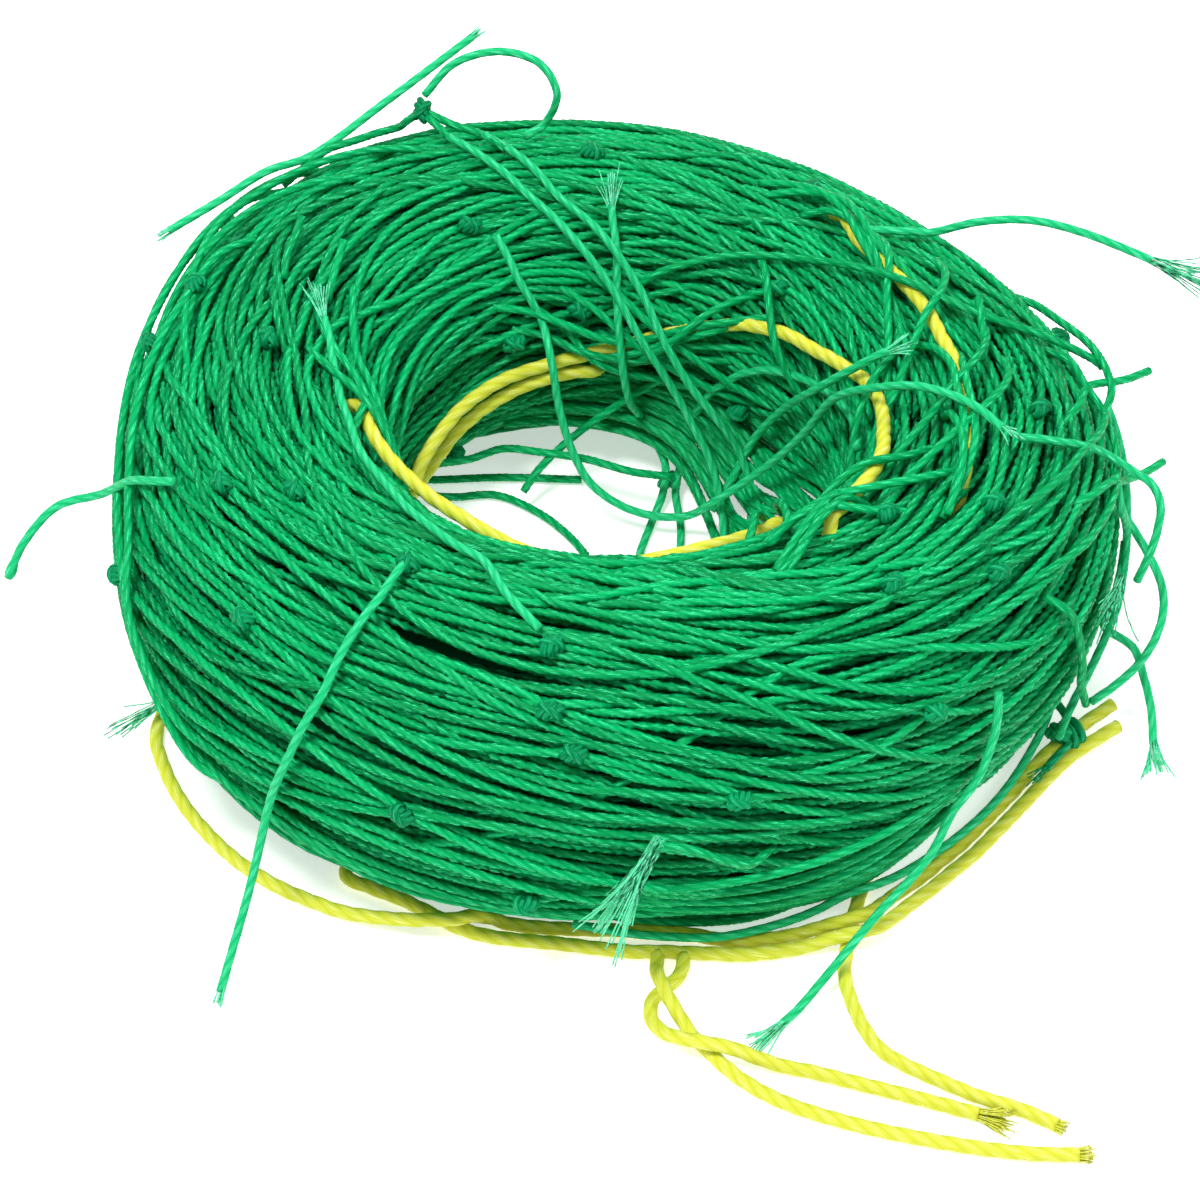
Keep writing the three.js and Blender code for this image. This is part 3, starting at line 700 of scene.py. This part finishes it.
coilTurns = {
    "twine": dict(twine, diameter=0.00134),  # pressed a little flatter and wider where it is wound
    "stations": 300,
    "layers": (  # depth, turns, sway, spread of the twist, mesh step, mesh step where hidden
        (0.0007, 46, 2.8, 0.50, 0.00095, 0.0022),
        (0.0016, 82, 1.7, 0.32, 0.0011, 0.0022),
        (0.0029, 80, 1.3, 0.25, 0.0018, 0.0026),
        (0.0045, 60, 1.0, 0.20, 0.0030, 0.0030),
        (0.0066, 42, 1.0, 0.20, 0.0034, 0.0034),
    ),
    "uneven": 0.35,  # how far a turn starts from its even place
    "waver": 0.8,
    "sectionRadius": 0.022,
    "sway": (0.0026, 0.0020, 0.0014, 0.0008),  # sideways, with 1 to 4 waves in a turn
    "rise": (0.0005, 0.0006, 0.0005, 0.0004),  # in and out
    "crowd": 0.5,  # more turns start on the crown, where the twist spreads them
    "sweeps": (0.6, 16.0, 28.0),  # share of the outermost turns that stray, degrees aside, degrees long
    "hollow": (150.0, 30.0, 46.0, 34.0, 0.0028),  # azimuth, its width, section, its width, depth
    "ridges": 11,
    "ridgeDepth": 0.0021,
    "ridgeFade": (0.75, 0.25),
    "spacing": 0.0013,
    "rounds": 34,
    "batch": 50,  # sections that settle at a time
    "push": 0.42,
    "evening": 0.25,
    "settle": 0.03,
    "stiffness": 3,
    "hiddenBelow": 0.008,  # a turn that lies lower shows less
    "mostFaces": 95000,  # four-sided faces in one piece
    "sides": 6,
    "tone": (0.1, 0.95),
}
ringKnots = {
    "places": (  # azimuth and section angle
        (170, 48), (161, 62), (198, 16), (203, 72), (210, 92), (172, 98), (262, 52), (265, 40), (283, 22),
        (311, 72), (325, 54), (308, 28), (260, -18), (247, 14), (222, 50), (121, 120), (100, 154), (119, 164),
        (50, 130), (53, 186), (57, 78), (94, 88), (334, 72), (356, 70), (322, 98), (132, 218), (20, 30),
        (75, 24), (105, 12), (140, 26), (261, 73), (235, 94)),
    "lift": 0.0004,
    "probe": (0.004, 2.0),  # lift and degrees, to find the ring's own directions
    "radius": 0.0009,
    "pitch": 0.00078,
    "twine": {"diameter": 0.00106, "lay": 0.006, "groove": 0.08},
    "step": 0.0005,
    "sides": 8,
    "drawn": 3,  # turns drawn in to each knot
    "deeper": 30.0,  # degrees that count against a turn of a deeper layer
    "reach": 5.0,  # degrees round the ring
    "tone": (0.2, 0.6),
    "size": (0.92, 1.08),
    "points": 59,  # of a loop
    "taper": 0.0002,  # the outer loops are smaller
    "slant": 0.0005,
    "lean": 0.5,  # of the loop that is drawn over the others
    "drawnOver": (1.43, 1.33),  # its length and height, in radii
    "spin": 0.7,
}
freeKnots = {  # node, centre, normal, way of its turns
    "netLoopKnot": ("net_loop_knot", (-0.0282, 0.0566, 0.0468), (0.0, -0.7, 0.7), (0.3, 0.67, 0.67)),
    "holeKnot": ("hole_knot", (0.0078, 0.0254, 0.0026), (0.0, -0.5, 0.86), (1.0, 0.0, 0.0)),
}
freeKnotLook = dict(ringKnots, radius=0.001, pitch=0.00086)


def coilTargets(settings, knots):
    azimuth = np.arange(settings["stations"]) * 360.0 / settings["stations"]
    uneven, waver = settings["uneven"], settings["waver"]
    sections, lifts, layers = [], [], []
    for layer, (depth, count, swayed, spread, _, _) in enumerate(settings["layers"]):
        even = (np.arange(count) + random.uniform(-uneven, uneven, count)) * 360.0 / count
        grid = np.arange(-90, 450.5, 0.5)  # section angles, past both ends of a turn
        starts = np.interp(even, grid + np.degrees(settings["crowd"] * (1 - np.cos(np.radians(grid)))), grid)
        section = twisted(azimuth[:, None], starts[None, :])
        section = starts + (section - starts) * (1 + random.normal(0, spread, count))
        sway = np.zeros((settings["stations"], count))
        rise = np.zeros((settings["stations"], count))
        for wave, (s, r) in enumerate(zip(settings["sway"], settings["rise"]), 1):
            turn = np.radians(wave * azimuth)[:, None]
            wide = s * swayed * random.normal(0, waver, count)
            sway += wide * np.sin(turn + random.uniform(0, fullTurn, count))
            high = r * random.normal(0, waver, count)
            rise += high * np.sin(turn + random.uniform(0, fullTurn, count))
        section = section + np.degrees(sway / settings["sectionRadius"])
        if layer == 0:
            share, aside, reach = settings["sweeps"]
            for turn in np.flatnonzero(random.uniform(0, 1, count) < share):
                away = np.mod(azimuth - random.uniform(0, 360) + 180, 360) - 180
                section[:, turn] += random.normal(0, aside) * np.exp(-(away / reach) ** 2)
        ridge = np.mod(starts / 360.0 * settings["ridges"], 1.0)
        steady, fading = settings["ridgeFade"]
        fade = steady + fading * np.cos(np.radians(2 * azimuth[:, None] + 3 * section))
        groove = settings["ridgeDepth"] * (1 - np.sin(np.pi * ridge)) * fade
        place, wide, angle, high, sunk = settings["hollow"]
        away = ((np.mod(section - angle + 180, 360) - 180) / high) ** 2
        away = ((azimuth - place) / wide)[:, None] ** 2 + away
        sections.append(section)
        lifts.append(-np.maximum(depth + rise + groove, twine["diameter"] / 2) - sunk * np.exp(-away))
        layers += [layer] * count
    section, lift = np.concatenate(sections, axis=1), np.concatenate(lifts, axis=1)
    layers = np.array(layers)
    for place, angle in knots["places"]:
        row = int(round(place / 360.0 * settings["stations"])) % settings["stations"]
        away = np.mod(section[row] - angle + 180, 360) - 180
        near = np.argsort(np.abs(away) + knots["deeper"] * (layers > 1))[:knots["drawn"]]
        aside = np.mod(azimuth - place + 180, 360) - 180
        pull = np.exp(-(aside / knots["reach"]) ** 2)[:, None]
        section[:, near] -= pull * away[near]
        lift[:, near] += pull * (-twine["diameter"] / 2 - lift[row, near])
    return azimuth, sectionPoint(azimuth[:, None], section, lift), layers


def insideRing(azimuth, flat):
    inner, outer, height = (ringSize(k, azimuth)[:, None] for k in ("inner", "outer", "height"))
    middle = (inner + outer) / 2
    waist = ringShape["belly"] * height
    x = (flat[..., 0] - middle) / ((outer - inner) / 2)
    y = (flat[..., 1] - waist) / ((1 - ringShape["belly"]) * height)
    section = np.degrees(np.arctan2(y, x))
    most = sectionPoint(azimuth[:, None], section, -twine["diameter"] / 2)
    centre = np.stack(np.broadcast_arrays(middle, waist), axis=-1)
    far = np.linalg.norm(flat - centre, axis=-1) > np.linalg.norm(most - centre, axis=-1)
    flat = np.where(far[..., None], most, flat)
    flat[..., 1] = np.maximum(flat[..., 1], twine["diameter"] / 2)
    return flat


def settle(settings, azimuth, target):
    flat = target.astype(np.float32)
    goal = flat.copy()
    spacing, batch = settings["spacing"], settings["batch"]
    for _ in range(settings["rounds"]):
        for s in range(0, len(flat), batch):
            here = flat[s:s + batch]
            apart = here[:, :, None, :] - here[:, None, :, :]
            gap = np.sqrt((apart ** 2).sum(-1)) + 1e-9
            push = np.maximum(spacing - gap, 0) / gap
            np.einsum("tii->ti", push)[...] = 0
            flat[s:s + batch] = here + settings["push"] * (apart * push[..., None]).sum(2)
        for _ in range(settings["stiffness"]):
            between = np.roll(flat, 1, 0) + np.roll(flat, -1, 0) - 2 * flat
            flat = flat + settings["evening"] * between
        flat = flat + settings["settle"] * (goal - flat)
        flat = insideRing(azimuth, flat).astype(np.float32)
    return flat.astype(float)


azimuth, target, turnLayers = coilTargets(coilTurns, ringKnots)
settled = settle(coilTurns, azimuth, target)
turns = spun(azimuth[:, None], settled)
print("turns are settled:", turns.shape[1])


def turnTube(turn, layer):
    line = turns[:, turn]
    low = np.mean(settled[:, turn, 1]) < coilTurns["hiddenBelow"]
    line = evenLine(np.vstack([line, line[:1]]), coilTurns["layers"][layer][5 if low else 4])[:-1]
    tone = random.uniform(*coilTurns["tone"])
    return twistedTube(line, coilTurns["twine"], coilTurns["sides"], tone, axis=(0.0, 0.0, 1.0),
                       phase=random.uniform(0, fullTurn))


heartShade = {"depth": 0.0088, "round": 120, "across": 40}


def heartShadeTube(settings):  # painted shade: a dark sheet at the depth of the innermost turns, which shows as darkness between the outer ones
    m, n = settings["round"], settings["across"]
    places = (np.arange(m) * 360.0 / m)[:, None]
    flat = sectionPoint(places, (np.arange(n) * 360.0 / n)[None, :], -settings["depth"])
    points = spun(places, flat).reshape(-1, 3)
    a, b = np.meshgrid(np.arange(m), np.arange(n), indexing="ij")
    c, d = (a + 1) % m, (b + 1) % n
    quads = np.stack([a * n + b, c * n + b, c * n + d, a * n + d], axis=-1).reshape(-1, 4)
    return {"points": points, "quads": quads, "quadUv": np.zeros((4 * len(quads), 2)),
            "tone": np.zeros(len(points)), "tris": np.zeros((0, 3), int), "triUv": np.zeros((0, 2))}


def makeTurns():
    tubes = [turnTube(k, layer) for k, layer in enumerate(turnLayers)]
    groups, count = [[]], 0
    for tube in tubes:
        if count + len(tube["quads"]) > coilTurns["mostFaces"]:
            groups.append([])
            count = 0
        groups[-1].append(tube)
        count += len(tube["quads"])
    for k, group in enumerate(groups):
        piece = addPiece(f"woundTurns{k + 1}", joined(group), greenFibre)
        if k == 0:
            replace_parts(piece, "net_coil")
        print("wound turns", k + 1, "have", len(piece.data.polygons), "faces")


makeTurns()


def knotTubes(centre, normal, along, settings):  # three turns side by side and one drawn over them
    side = unit(np.cross(normal, along))
    turn = np.linspace(0, 2 * np.pi, settings["points"] + 1)[:-1, None]
    tone = random.uniform(*settings["tone"])
    size = random.uniform(*settings["size"])
    tubes = []
    for k in (-1, 0, 1):
        radius = size * (settings["radius"] - settings["taper"] * abs(k))
        loop = centre + along * (k * settings["pitch"] + settings["slant"] * np.cos(turn)) + radius * (
            np.cos(turn) * side + np.sin(turn) * normal)
        loop = evenLine(np.vstack([loop, loop[:1]]), settings["step"])[:-1]
        tubes.append(twistedTube(loop, settings["twine"], settings["sides"], tone, axis=along))
    across = unit(side + settings["lean"] * along)
    length = unit(along - settings["lean"] * side)
    far, high = settings["drawnOver"]
    loop = centre + size * settings["radius"] * (far * np.cos(turn) * length + high * np.sin(turn) * normal)
    loop = evenLine(np.vstack([loop, loop[:1]]), settings["step"])[:-1]
    tubes.append(twistedTube(loop, settings["twine"], settings["sides"], tone, axis=across))
    return joined(tubes)


def makeKnots(settings):
    tubes = []
    high, aside = settings["probe"]
    for place, angle in settings["places"]:
        centre = onRing(place, angle, settings["lift"])
        normal = unit(onRing(place, angle, high) - onRing(place, angle, 0.0))
        along = unit(onRing(place + aside, angle, 0.0) - onRing(place - aside, angle, 0.0))
        spin = random.uniform(-settings["spin"], settings["spin"])
        along = unit(math.cos(spin) * along + math.sin(spin) * np.cross(normal, along))
        tubes.append(knotTubes(centre, normal, along, settings))
    addPiece("ringKnots", joined(tubes), darkGreenFibre)
    for name, (node, centre, normal, along) in freeKnots.items():
        normal, along = unit(np.array(normal)), np.array(along)
        along = unit(along - normal * np.dot(along, normal))
        tube = knotTubes(np.array(centre), normal, along, freeKnotLook)
        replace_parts(addPiece(name, tube, darkGreenFibre), node)


makeKnots(ringKnots)
# painted shade: a dark sheet inside the turns, in the dark knot colour
addPiece("coilHeartShade", heartShadeTube(heartShade), darkGreenFibre)
print("knots are tied")

# Turns that lie slack over the ring, across the ropes and down in the hole.
# Two numbers lie on the ring, and three are azimuth, section angle and lift off it in millimetres.

slackLook = {"step": 0.0008, "sides": 8, "tone": (0.35, 0.8)}
overTurns = (
    ((90, 148, -2), (84, 143, 0.5), (79, 138), (66, 128), (49, 116), (36, 108, 2.9), (26, 100, 3.2),
     (16, 84, 1.7), (12, 60), free(66.6, 11.6, 38.4), free(67.6, 11.2, 37.6)),
    ((30, 40, -2), (24, 41, 0.5), (19, 42, 1.6), free(66, 14.6, 38.8), free(67.9, 9, 38.9),
     free(68.4, 6, 38), (3, 38, 1.3), (359, 42), (351, 52), (340, 60), (334, 64), (327, 66), (318, 68, -1),
     (312, 69, -3)),
    ((14, 56, -2), (8, 52), (4, 48), (2, 40), (-1, 34), (-3, 32), (-8, 32), (-14, 34), (-22, 38),
     (-29, 42, -1), (-35, 45, -3)),
    ((331, 34, -2), (331, 29, 0.6), (332, 22), (333, 8), (335, -12), free(64.7, -25.3, 8)),
    ((356, 58, -2), (360, 53, 0.6), (5, 46), free(70.4, 8.6, 37.6), free(74.2, 11.8, 36.4)),
    ((343, 48, -2), (346, 43, 0.6), (351, 36), (355, 26), free(73.2, -1.6, 29.6), free(76, 2.2, 28)),
    ((148, 68, -2), (155, 65, 0.4), (162, 61, 0.4), (171, 54, 0.6), (181, 46, 0.6), (191, 40, 0.6),
     (199, 32, 0.6), (205, 20, 1.4), (211, 10, 1), (217, 0, 0.2), (222, -8, -2)),
    ((136, 52, -2), (142, 51, 0.2), (150, 50, 0.8), (160, 46, 0.4), (170, 40, 0.4), (181, 35, 0.4),
     (191, 30, 0.4), (199, 22, 0.4), (206, 12, 0.9), (213, 0, 0.8), (219, -12, 0.4), (224, -20, -2)),
    ((116, 70, -2), (124, 65, -0.4), (133, 59, 0.2), (143, 53, 0.4), (153, 48, 0.4), (163, 43, 0.3),
     (173, 39, -0.4), (181, 37, -2)),
    ((126, 44, -3), (133, 46, -0.6), (142, 50, 0.4), (152, 55, 0.6), (162, 59, 0), (171, 62, -1.2),
     (178, 64, -3)),
    ((128, 76, -2), (136, 70, -0.2), (145, 63, 0.4), (154, 56, 0.2), (163, 50, -0.4), (172, 45, -1.4),
     (179, 42, -3)),
    ((34, 72, -1), (28, 80, 1), (22, 92, 2.5), (17, 103, 3.2), (11, 114, 2.1), (4, 124), (-4, 132),
     (-11, 138, -1), (-16, 142, -3)),
    ((46, 84, -1), (40, 88, 1.4), (34, 96, 3.1), (27, 108, 2.4), (19, 118), (11, 126, 0.5), (2, 132, -1),
     (-5, 136, -3)),
    ((20, 78, -1), (12, 84, 0.6), (4, 93, 2.8), (-3, 102, 3.2), (-10, 109, 2.1), (-18, 115),
     (-26, 120, -1), (-32, 124, -3)),
    ((8, 78, -1), (0, 83, 1.4), (-8, 90, 3), (-16, 97, 2.9), (-24, 103, 1.3), (-32, 108, -1),
     (-38, 111, -3)),
    ((60, 118, -1), (54, 126, 1.2), (47, 137, 2.9), (41, 146, 3.1), (34, 156, 1.4), (27, 165, -1),
     (22, 171, -3)),
    ((122, 150, -1), (114, 153, 0.5), (104, 158, 2.8), (94, 162, 3.1), (84, 163, 3.1), (74, 162, 2.9),
     (64, 160, 1.5), (54, 158, -1), (48, 157, -3)),
    ((118, 160, -1), (110, 163, 0.5), (101, 167, 2.9), (92, 169, 3.2), (83, 169, 3.1), (74, 167, 2.8),
     (65, 166, 1.4), (56, 165, -1), (50, 164, -3)),
    ((112, 152, -1), (105, 160, 0.6), (97, 170, 3.2), (88, 175, 2.8), (78, 178, 1.7), (68, 180),
     (58, 182, -1), (52, 183, -3)),
    ((104, 146, -1), (96, 153, 1.4), (88, 160, 2.9), (79, 166, 3.5), (70, 172, 2.4), (60, 178),
     (51, 182, -1), (45, 184, -3)),
    ((98, 140, -1), (90, 147, 1.2), (81, 155, 2.5), (72, 160, 3.4), (63, 166, 2.4), (54, 172),
     (45, 178, -1), (39, 182, -3)),
    ((22, 112, -1), (15, 120, 0.4), (8, 128, 2.9), (1, 136, 3.1), (-6, 144, 1.4), (-13, 152, -1),
     (-18, 158, -3)),
    ((-14, 104, -1), (-22, 110, 1.4), (-29, 117, 3.1), (-36, 122, 2.1), (-44, 127, -1), (-50, 131, -3)),
    ((-20, 92, -1), (-28, 99, 1.4), (-36, 107, 2.5), (-43, 113, 2.8), (-50, 118, 1.4), (-57, 122, -1),
     (-62, 124, -3)),
    ((150, 118, -1), (158, 124, 0.6), (166, 131, 0.5), (175, 136, 2.5), (184, 140, 2.9), (194, 147, 1.4),
     (203, 154, -1), (209, 158, -3)),
    ((160, 112, -1), (168, 120, 0.8), (176, 128, 2.6), (183, 134, 3.1), (191, 142, 2.6), (200, 150, 0.4),
     (206, 155, -2)),
    ((170, 114, -1), (177, 123, 1.4), (183, 130, 3), (189, 137, 3.1), (196, 145, 1.4), (203, 152, -2)),
    ((300, 128, -1), (306, 136, 1.2), (312, 144, 3), (318, 151, 3.2), (324, 158, 2), (330, 165, -1)),
    ((308, 122, -1), (314, 132, 1.2), (320, 143, 3), (325, 152, 3), (331, 161, 1), (336, 168, -2)),
    ((-34, 96, -1), (-40, 101, 1.2), (-46, 107, 3.1), (-52, 113, 2.4), (-58, 118, -1)),
    ((-36, 118, -1), (-43, 113, 2.6), (-49, 107, 3.1), (-56, 101, 1.2), (-62, 97, -2)),
    ((58, 80, -1), (51, 85, 2.2), (45, 91, 3.1), (38, 97, 3.1), (31, 104, 1.6), (24, 109, -1),
     (19, 112, -3)),
    ((56, 92, -1), (50, 91, 2.4), (44, 92, 3.1), (37, 94, 3), (30, 94, 1.4), (22, 93, -1), (16, 92, -3)),
    ((-6, 108, -1), (-11, 101, 2.6), (-17, 94, 3.1), (-24, 88, 2), (-31, 83, -1)),
    ((66, 82, -1), (60, 83.5, 1.2), (54, 85.5, 2.8), (47, 90.5, 3.4), (41, 97, 3.4), (35, 101, 1.6),
     (29, 105, -1), (24, 108, -3)),
    ((64, 89, -1), (58, 86.5, 1.4), (51, 85.5, 3.2), (45, 90, 4.6), (39, 94, 3.4), (33, 95, 1.4),
     (27, 94, -1), (22, 93, -3)),
    ((16, 112, -1), (9, 106, 1.8), (2, 102.6, 3.3), (-5, 100.6, 3.4), (-12, 96.4, 3.4), (-19, 92, 2),
     (-27, 87, -1)),
    ((10, 97, -1), (3, 98.6, 2.4), (-4, 97.4, 3.3), (-11, 93.4, 3.3), (-17, 89.6, 2.4), (-24, 87, 0.6),
     (-31, 85, -2)),
    ((98, 172, -1), (92, 169.6, 1.8), (85, 166.2, 3.4), (76, 161.2, 3.4), (68, 156.8, 3.4), (61, 152.4, 3),
     (55, 147, 0.8), (49, 142, -2)),
    ((95, 164, -1), (88, 163, 2.4), (80, 160.2, 3.3), (72, 155.8, 3.3), (64, 151.4, 3.3), (57, 147.6, 2.6),
     (51, 143, 0.2), (46, 139, -2)),
    ((92, 178, -1), (85, 171, 2.4), (77, 163, 4.8), (70, 156, 5), (64, 148, 3.2), (58, 140, 0.6),
     (54, 134, -2)),
    ((-34, 116, -1), (-39, 113.5, 2.2), (-44, 110.8, 3.4), (-50, 107.4, 3.4), (-56, 104, 2),
     (-62, 100.5, -1)),
    ((-36, 111, -1), (-41, 109, 2.4), (-46, 106.4, 3.4), (-52, 103.4, 2.8), (-58, 100.5, 0.5),
     (-64, 97, -2)),
    ((164, 133, -1), (170, 133.6, 0.4), (175, 134.4, 0.8), (178, 135, 1.4), (181, 135.4, 2.4),
     (184, 136.2, 3.1), (188, 139, 2.2), (193, 144, -1)),
    ((164, 130, -1), (170, 131, 0.4), (175, 131.8, 0.8), (178, 132.2, 1.4), (181, 132.6, 2.4),
     (184, 132.6, 3), (188, 131.4, 1.8), (193, 129.5, -1)),
    (free(22.5, -57.5, 17.5), free(19.2, -64.8, 21.5), free(16.6, -69.4, 24.3), free(13, -71.4, 27.5),
     free(9.5, -72, 30), free(6.5, -72, 30.8), free(4.5, -71.6, 30)),
)
loopLegs = (
    (free(-28.6, 57, 46.2), free(-30.4, 56.2, 45.2), (119, 56), (125, 58), (129, 56), (136, 52, -1)),
    (free(-27.6, 55.8, 46.4), free(-25.2, 52.8, 46.2), (115, 76), (113, 86)),
    (free(-27.2, 56.2, 46.6), free(-23.6, 53.8, 46.4), (110, 78), (108, 88)),
    ((157, 114, -1), (155, 112), (150, 109, 1), (146, 106, 2.6)),
    ((156, 94, -1), (153, 92), (149, 90, 1.2), (146, 89, 3)),
    ((8, 88, -1), (11, 86), (14, 84, 1), (18, 82, 3)),
)
floorStrands = (
    ((-13.6, 21.4, 4), (-11.3, 24.1, 6), (-7.4, 26.5, 9), (-0.7, 28.4, 14), (7, 27.8, 21)),
    ((-30, 27.2, 1.2), (-27.5, 27.1, 1), (-17, 27.6, 1), (-5.1, 27.1, 1)),
    ((-27.2, 22.6, 2), (-23.6, 23.4, 1), (-17.7, 23.8, 1), (-11.3, 20, 1), (-6.9, 15.2, 1),
     (-4.4, 11.2, 1)),
    ((-26.2, 22, 9), (-21.4, 24.1, 8), (-16.6, 26.3, 8), (-11.3, 25.6, 8), (-4.4, 24.1, 8), (2.3, 21.4, 8),
     (8, 21.4, 7)),
)
holeTurns = {
    "count": 32,
    "middle": 38.0,  # azimuth where they hang farthest in
    "width": (34.0, 46.0),
    "radius": (0.0325, 0.0192),  # from the wall to the farthest in
    "height": (0.018, 0.0012),
    "wallSink": 0.003,  # into the wall, where they don't hang
    "wallHeight": (0.024, 0.010),
    "reach": (112.0, -48.0),
    "stray": (8.0, 10.0),  # degrees, at the ends and at the middle
    "uneven": (0.0006, 0.0008),  # in radius and height
    "wave": (0.0006, 9.0),  # height, and degrees of azimuth to a radian
    "points": 20,
    "floor": 0.0009,
}


def holeTurn(share, settings):
    first, last = settings["reach"]
    ends, middle = settings["stray"]
    start, end = first + random.uniform(-ends, ends), last + random.uniform(-ends, ends)
    azimuth = np.linspace(start, end, settings["points"])
    away = azimuth - settings["middle"] - random.uniform(-middle, middle)
    near = np.exp(-(away / random.uniform(*settings["width"])) ** 2)
    wall = ringSize("inner", azimuth) + settings["wallSink"]
    close, far = settings["radius"]
    out, up = settings["uneven"]
    radius = wall + near * (close + (far - close) * share - wall) + random.uniform(-out, out)
    high, low = settings["wallHeight"]
    height = high + (low - high) * share
    high, low = settings["height"]
    height = height + near * (high + (low - high) * share - height) + random.uniform(-up, up)
    wave, slow = settings["wave"]
    height = np.maximum(height + wave * np.sin(azimuth / slow), settings["floor"])
    return smoothLine(spun(azimuth, np.stack([radius, height], axis=-1)), slackLook["step"])


footTurns = {
    "count": 13,
    "reach": (250.0, 338.0),
    "section": (-14.0, -62.0),
    "middle": (292.0, 302.0),  # azimuth where they hang farthest out
    "width": (19.0, 27.0),
    "out": (0.0008, 0.0026),
    "share": (0.75, 1.0),
    "sunk": 0.003,  # under the turns at both ends
    "startStray": (-6.0, 6.0),
    "endStray": (-8.0, 4.0),
    "wave": (4.0, 13.0),  # degrees of section, and degrees of azimuth to a radian
    "points": 22,
}


def footTurn(share, settings):
    first, last = settings["reach"]
    start, end = first + random.uniform(*settings["startStray"]), last + random.uniform(*settings["endStray"])
    azimuth = np.linspace(start, end, settings["points"])
    high, low = settings["section"]
    wave, slow = settings["wave"]
    section = high + (low - high) * share + wave * np.sin(azimuth / slow + random.uniform(0, fullTurn))
    away = (azimuth - random.uniform(*settings["middle"])) / random.uniform(*settings["width"])
    near, far = settings["out"]
    sunk = settings["sunk"]
    lift = near + (far - near) * share * random.uniform(*settings["share"]) + sunk
    lift = lift * np.exp(-away ** 2) - sunk
    line = onRing(azimuth, section, lift)
    line[:, 2] = np.maximum(line[:, 2], twine["diameter"] / 2 + floorClearance)
    return smoothLine(line, slackLook["step"])


def slackTubes(lines):
    return joined([twistedTube(line, twine, slackLook["sides"], random.uniform(*slackLook["tone"]),
                               phase=random.uniform(0, fullTurn)) for line in lines])


def evenShares(count):
    return [k / (count - 1) for k in range(count)]


overLines = [routeLine(row, twine, slackLook["step"], True) for row in overTurns + loopLegs]
addPiece("overTurns", slackTubes(overLines), greenFibre)
holeLines = [holeTurn(share, holeTurns) for share in evenShares(holeTurns["count"])]
addPiece("holeTurns", slackTubes(holeLines), greenFibre)
footLines = [footTurn(share, footTurns) for share in evenShares(footTurns["count"])]
addPiece("footTurns", slackTubes(footLines), greenFibre)
floorLines = [routeLine(row, twine, slackLook["step"]) for row in floorStrands]
addPiece("floorStrands", slackTubes(floorLines), greenFibre)
print("slack turns are laid:", len(overLines + holeLines + footLines + floorLines))

# The lashing round the border rope's cut end

lashing = {
    "place": 0.955,  # share of the rope's length
    "turns": 2.4,
    "start": 0.6,  # radians
    "pitch": 0.0013,
    "gap": 0.0001,
    "points": 120,
    "every": 6,  # point of the coil that the twine goes through
    "step": 0.0006,
    "sides": 10,
    "tone": 0.45,
    "tail": ((-1.2, 1.6, 1.6), (-3.0, 3.6, 2.4), (-5.2, 5.2, 4.2)),  # millimetres from the coil's ends
    "head": ((-3.4, -5.0, 0.2), (-1.6, -2.6, 0.3)),
    "headFloor": 0.001,
    "knot": (0.0022, 0.002, 0.4),  # up, back along the rope, and its lean
    "fray": (8, 0.004, 0.0016),
    "frayTone": 0.7,
}


def makeLashing(settings):
    bound = footLine(footRopes["ropeFootOuter"][1])
    k = int(settings["place"] * len(bound))
    along = unit(bound[k + 2] - bound[k - 2])
    side = unit(np.cross(along, (0.0, 0.0, 1.0)))
    up = np.cross(side, along)
    f = np.linspace(0, 1, settings["points"])[:, None]
    turn = 2 * np.pi * settings["turns"] * f + settings["start"]
    radius = (rope["diameter"] + twine["diameter"]) / 2 + settings["gap"]
    coil = bound[k] + along * settings["pitch"] * settings["turns"] * (f - 0.5) + radius * (
        np.cos(turn) * side + np.sin(turn) * up)
    coil[:, 2] = np.maximum(coil[:, 2], twine["diameter"] / 2 + floorClearance)
    tail = coil[-1] + np.array(settings["tail"]) / 1000
    head = coil[0] + np.array(settings["head"]) / 1000
    head[:, 2] = np.maximum(head[:, 2], settings["headFloor"])
    line = smoothLine(np.vstack([head, coil[::settings["every"]], tail]), settings["step"])
    wraps = twistedTube(line, twine, settings["sides"], settings["tone"])
    high, back, lean = settings["knot"]
    knot = knotTubes(bound[k] + up * high - along * back, up, unit(side + lean * along), ringKnots)
    fray = frayedTip(head[0], head[0] - head[1], *settings["fray"], twine["diameter"], settings["frayTone"])
    piece = addPiece("lashingTwine", joined([wraps, knot, fray]), darkGreenFibre)
    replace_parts(piece, "lashing")


makeLashing(lashing)

# Tufts of filaments where a twine has come undone

tufts = {  # root, way, filaments, length, spread, width at the root
    "front": ((0.0046, -0.0716, 0.0301), (-0.0036, -0.0010, -0.0086), 44, 0.0155, 0.0009, 0.0024),
    "frontStray": ((0.0040, -0.0716, 0.0296), (-0.0028, -0.0014, -0.0072), 9, 0.0190, 0.0065, 0.0016),
    "left": ((-0.0625, -0.0215, 0.005), (-0.0092, -0.0062, -0.001), 14, 0.0100, 0.0012, 0.0012),
    "right": ((0.0684, -0.0196, 0.0262), (-0.0034, -0.0108, 0.0002), 22, 0.0100, 0.0026, 0.0014),
}
tuftLook = {"tone": 0.9, "most": 0.009}
tuftTubes = [frayedTip(np.array(root), *rest, **tuftLook) for root, *rest in tufts.values()]
addPiece("tufts", joined(tuftTubes), greenWisps)
print("lashing and tufts are made")
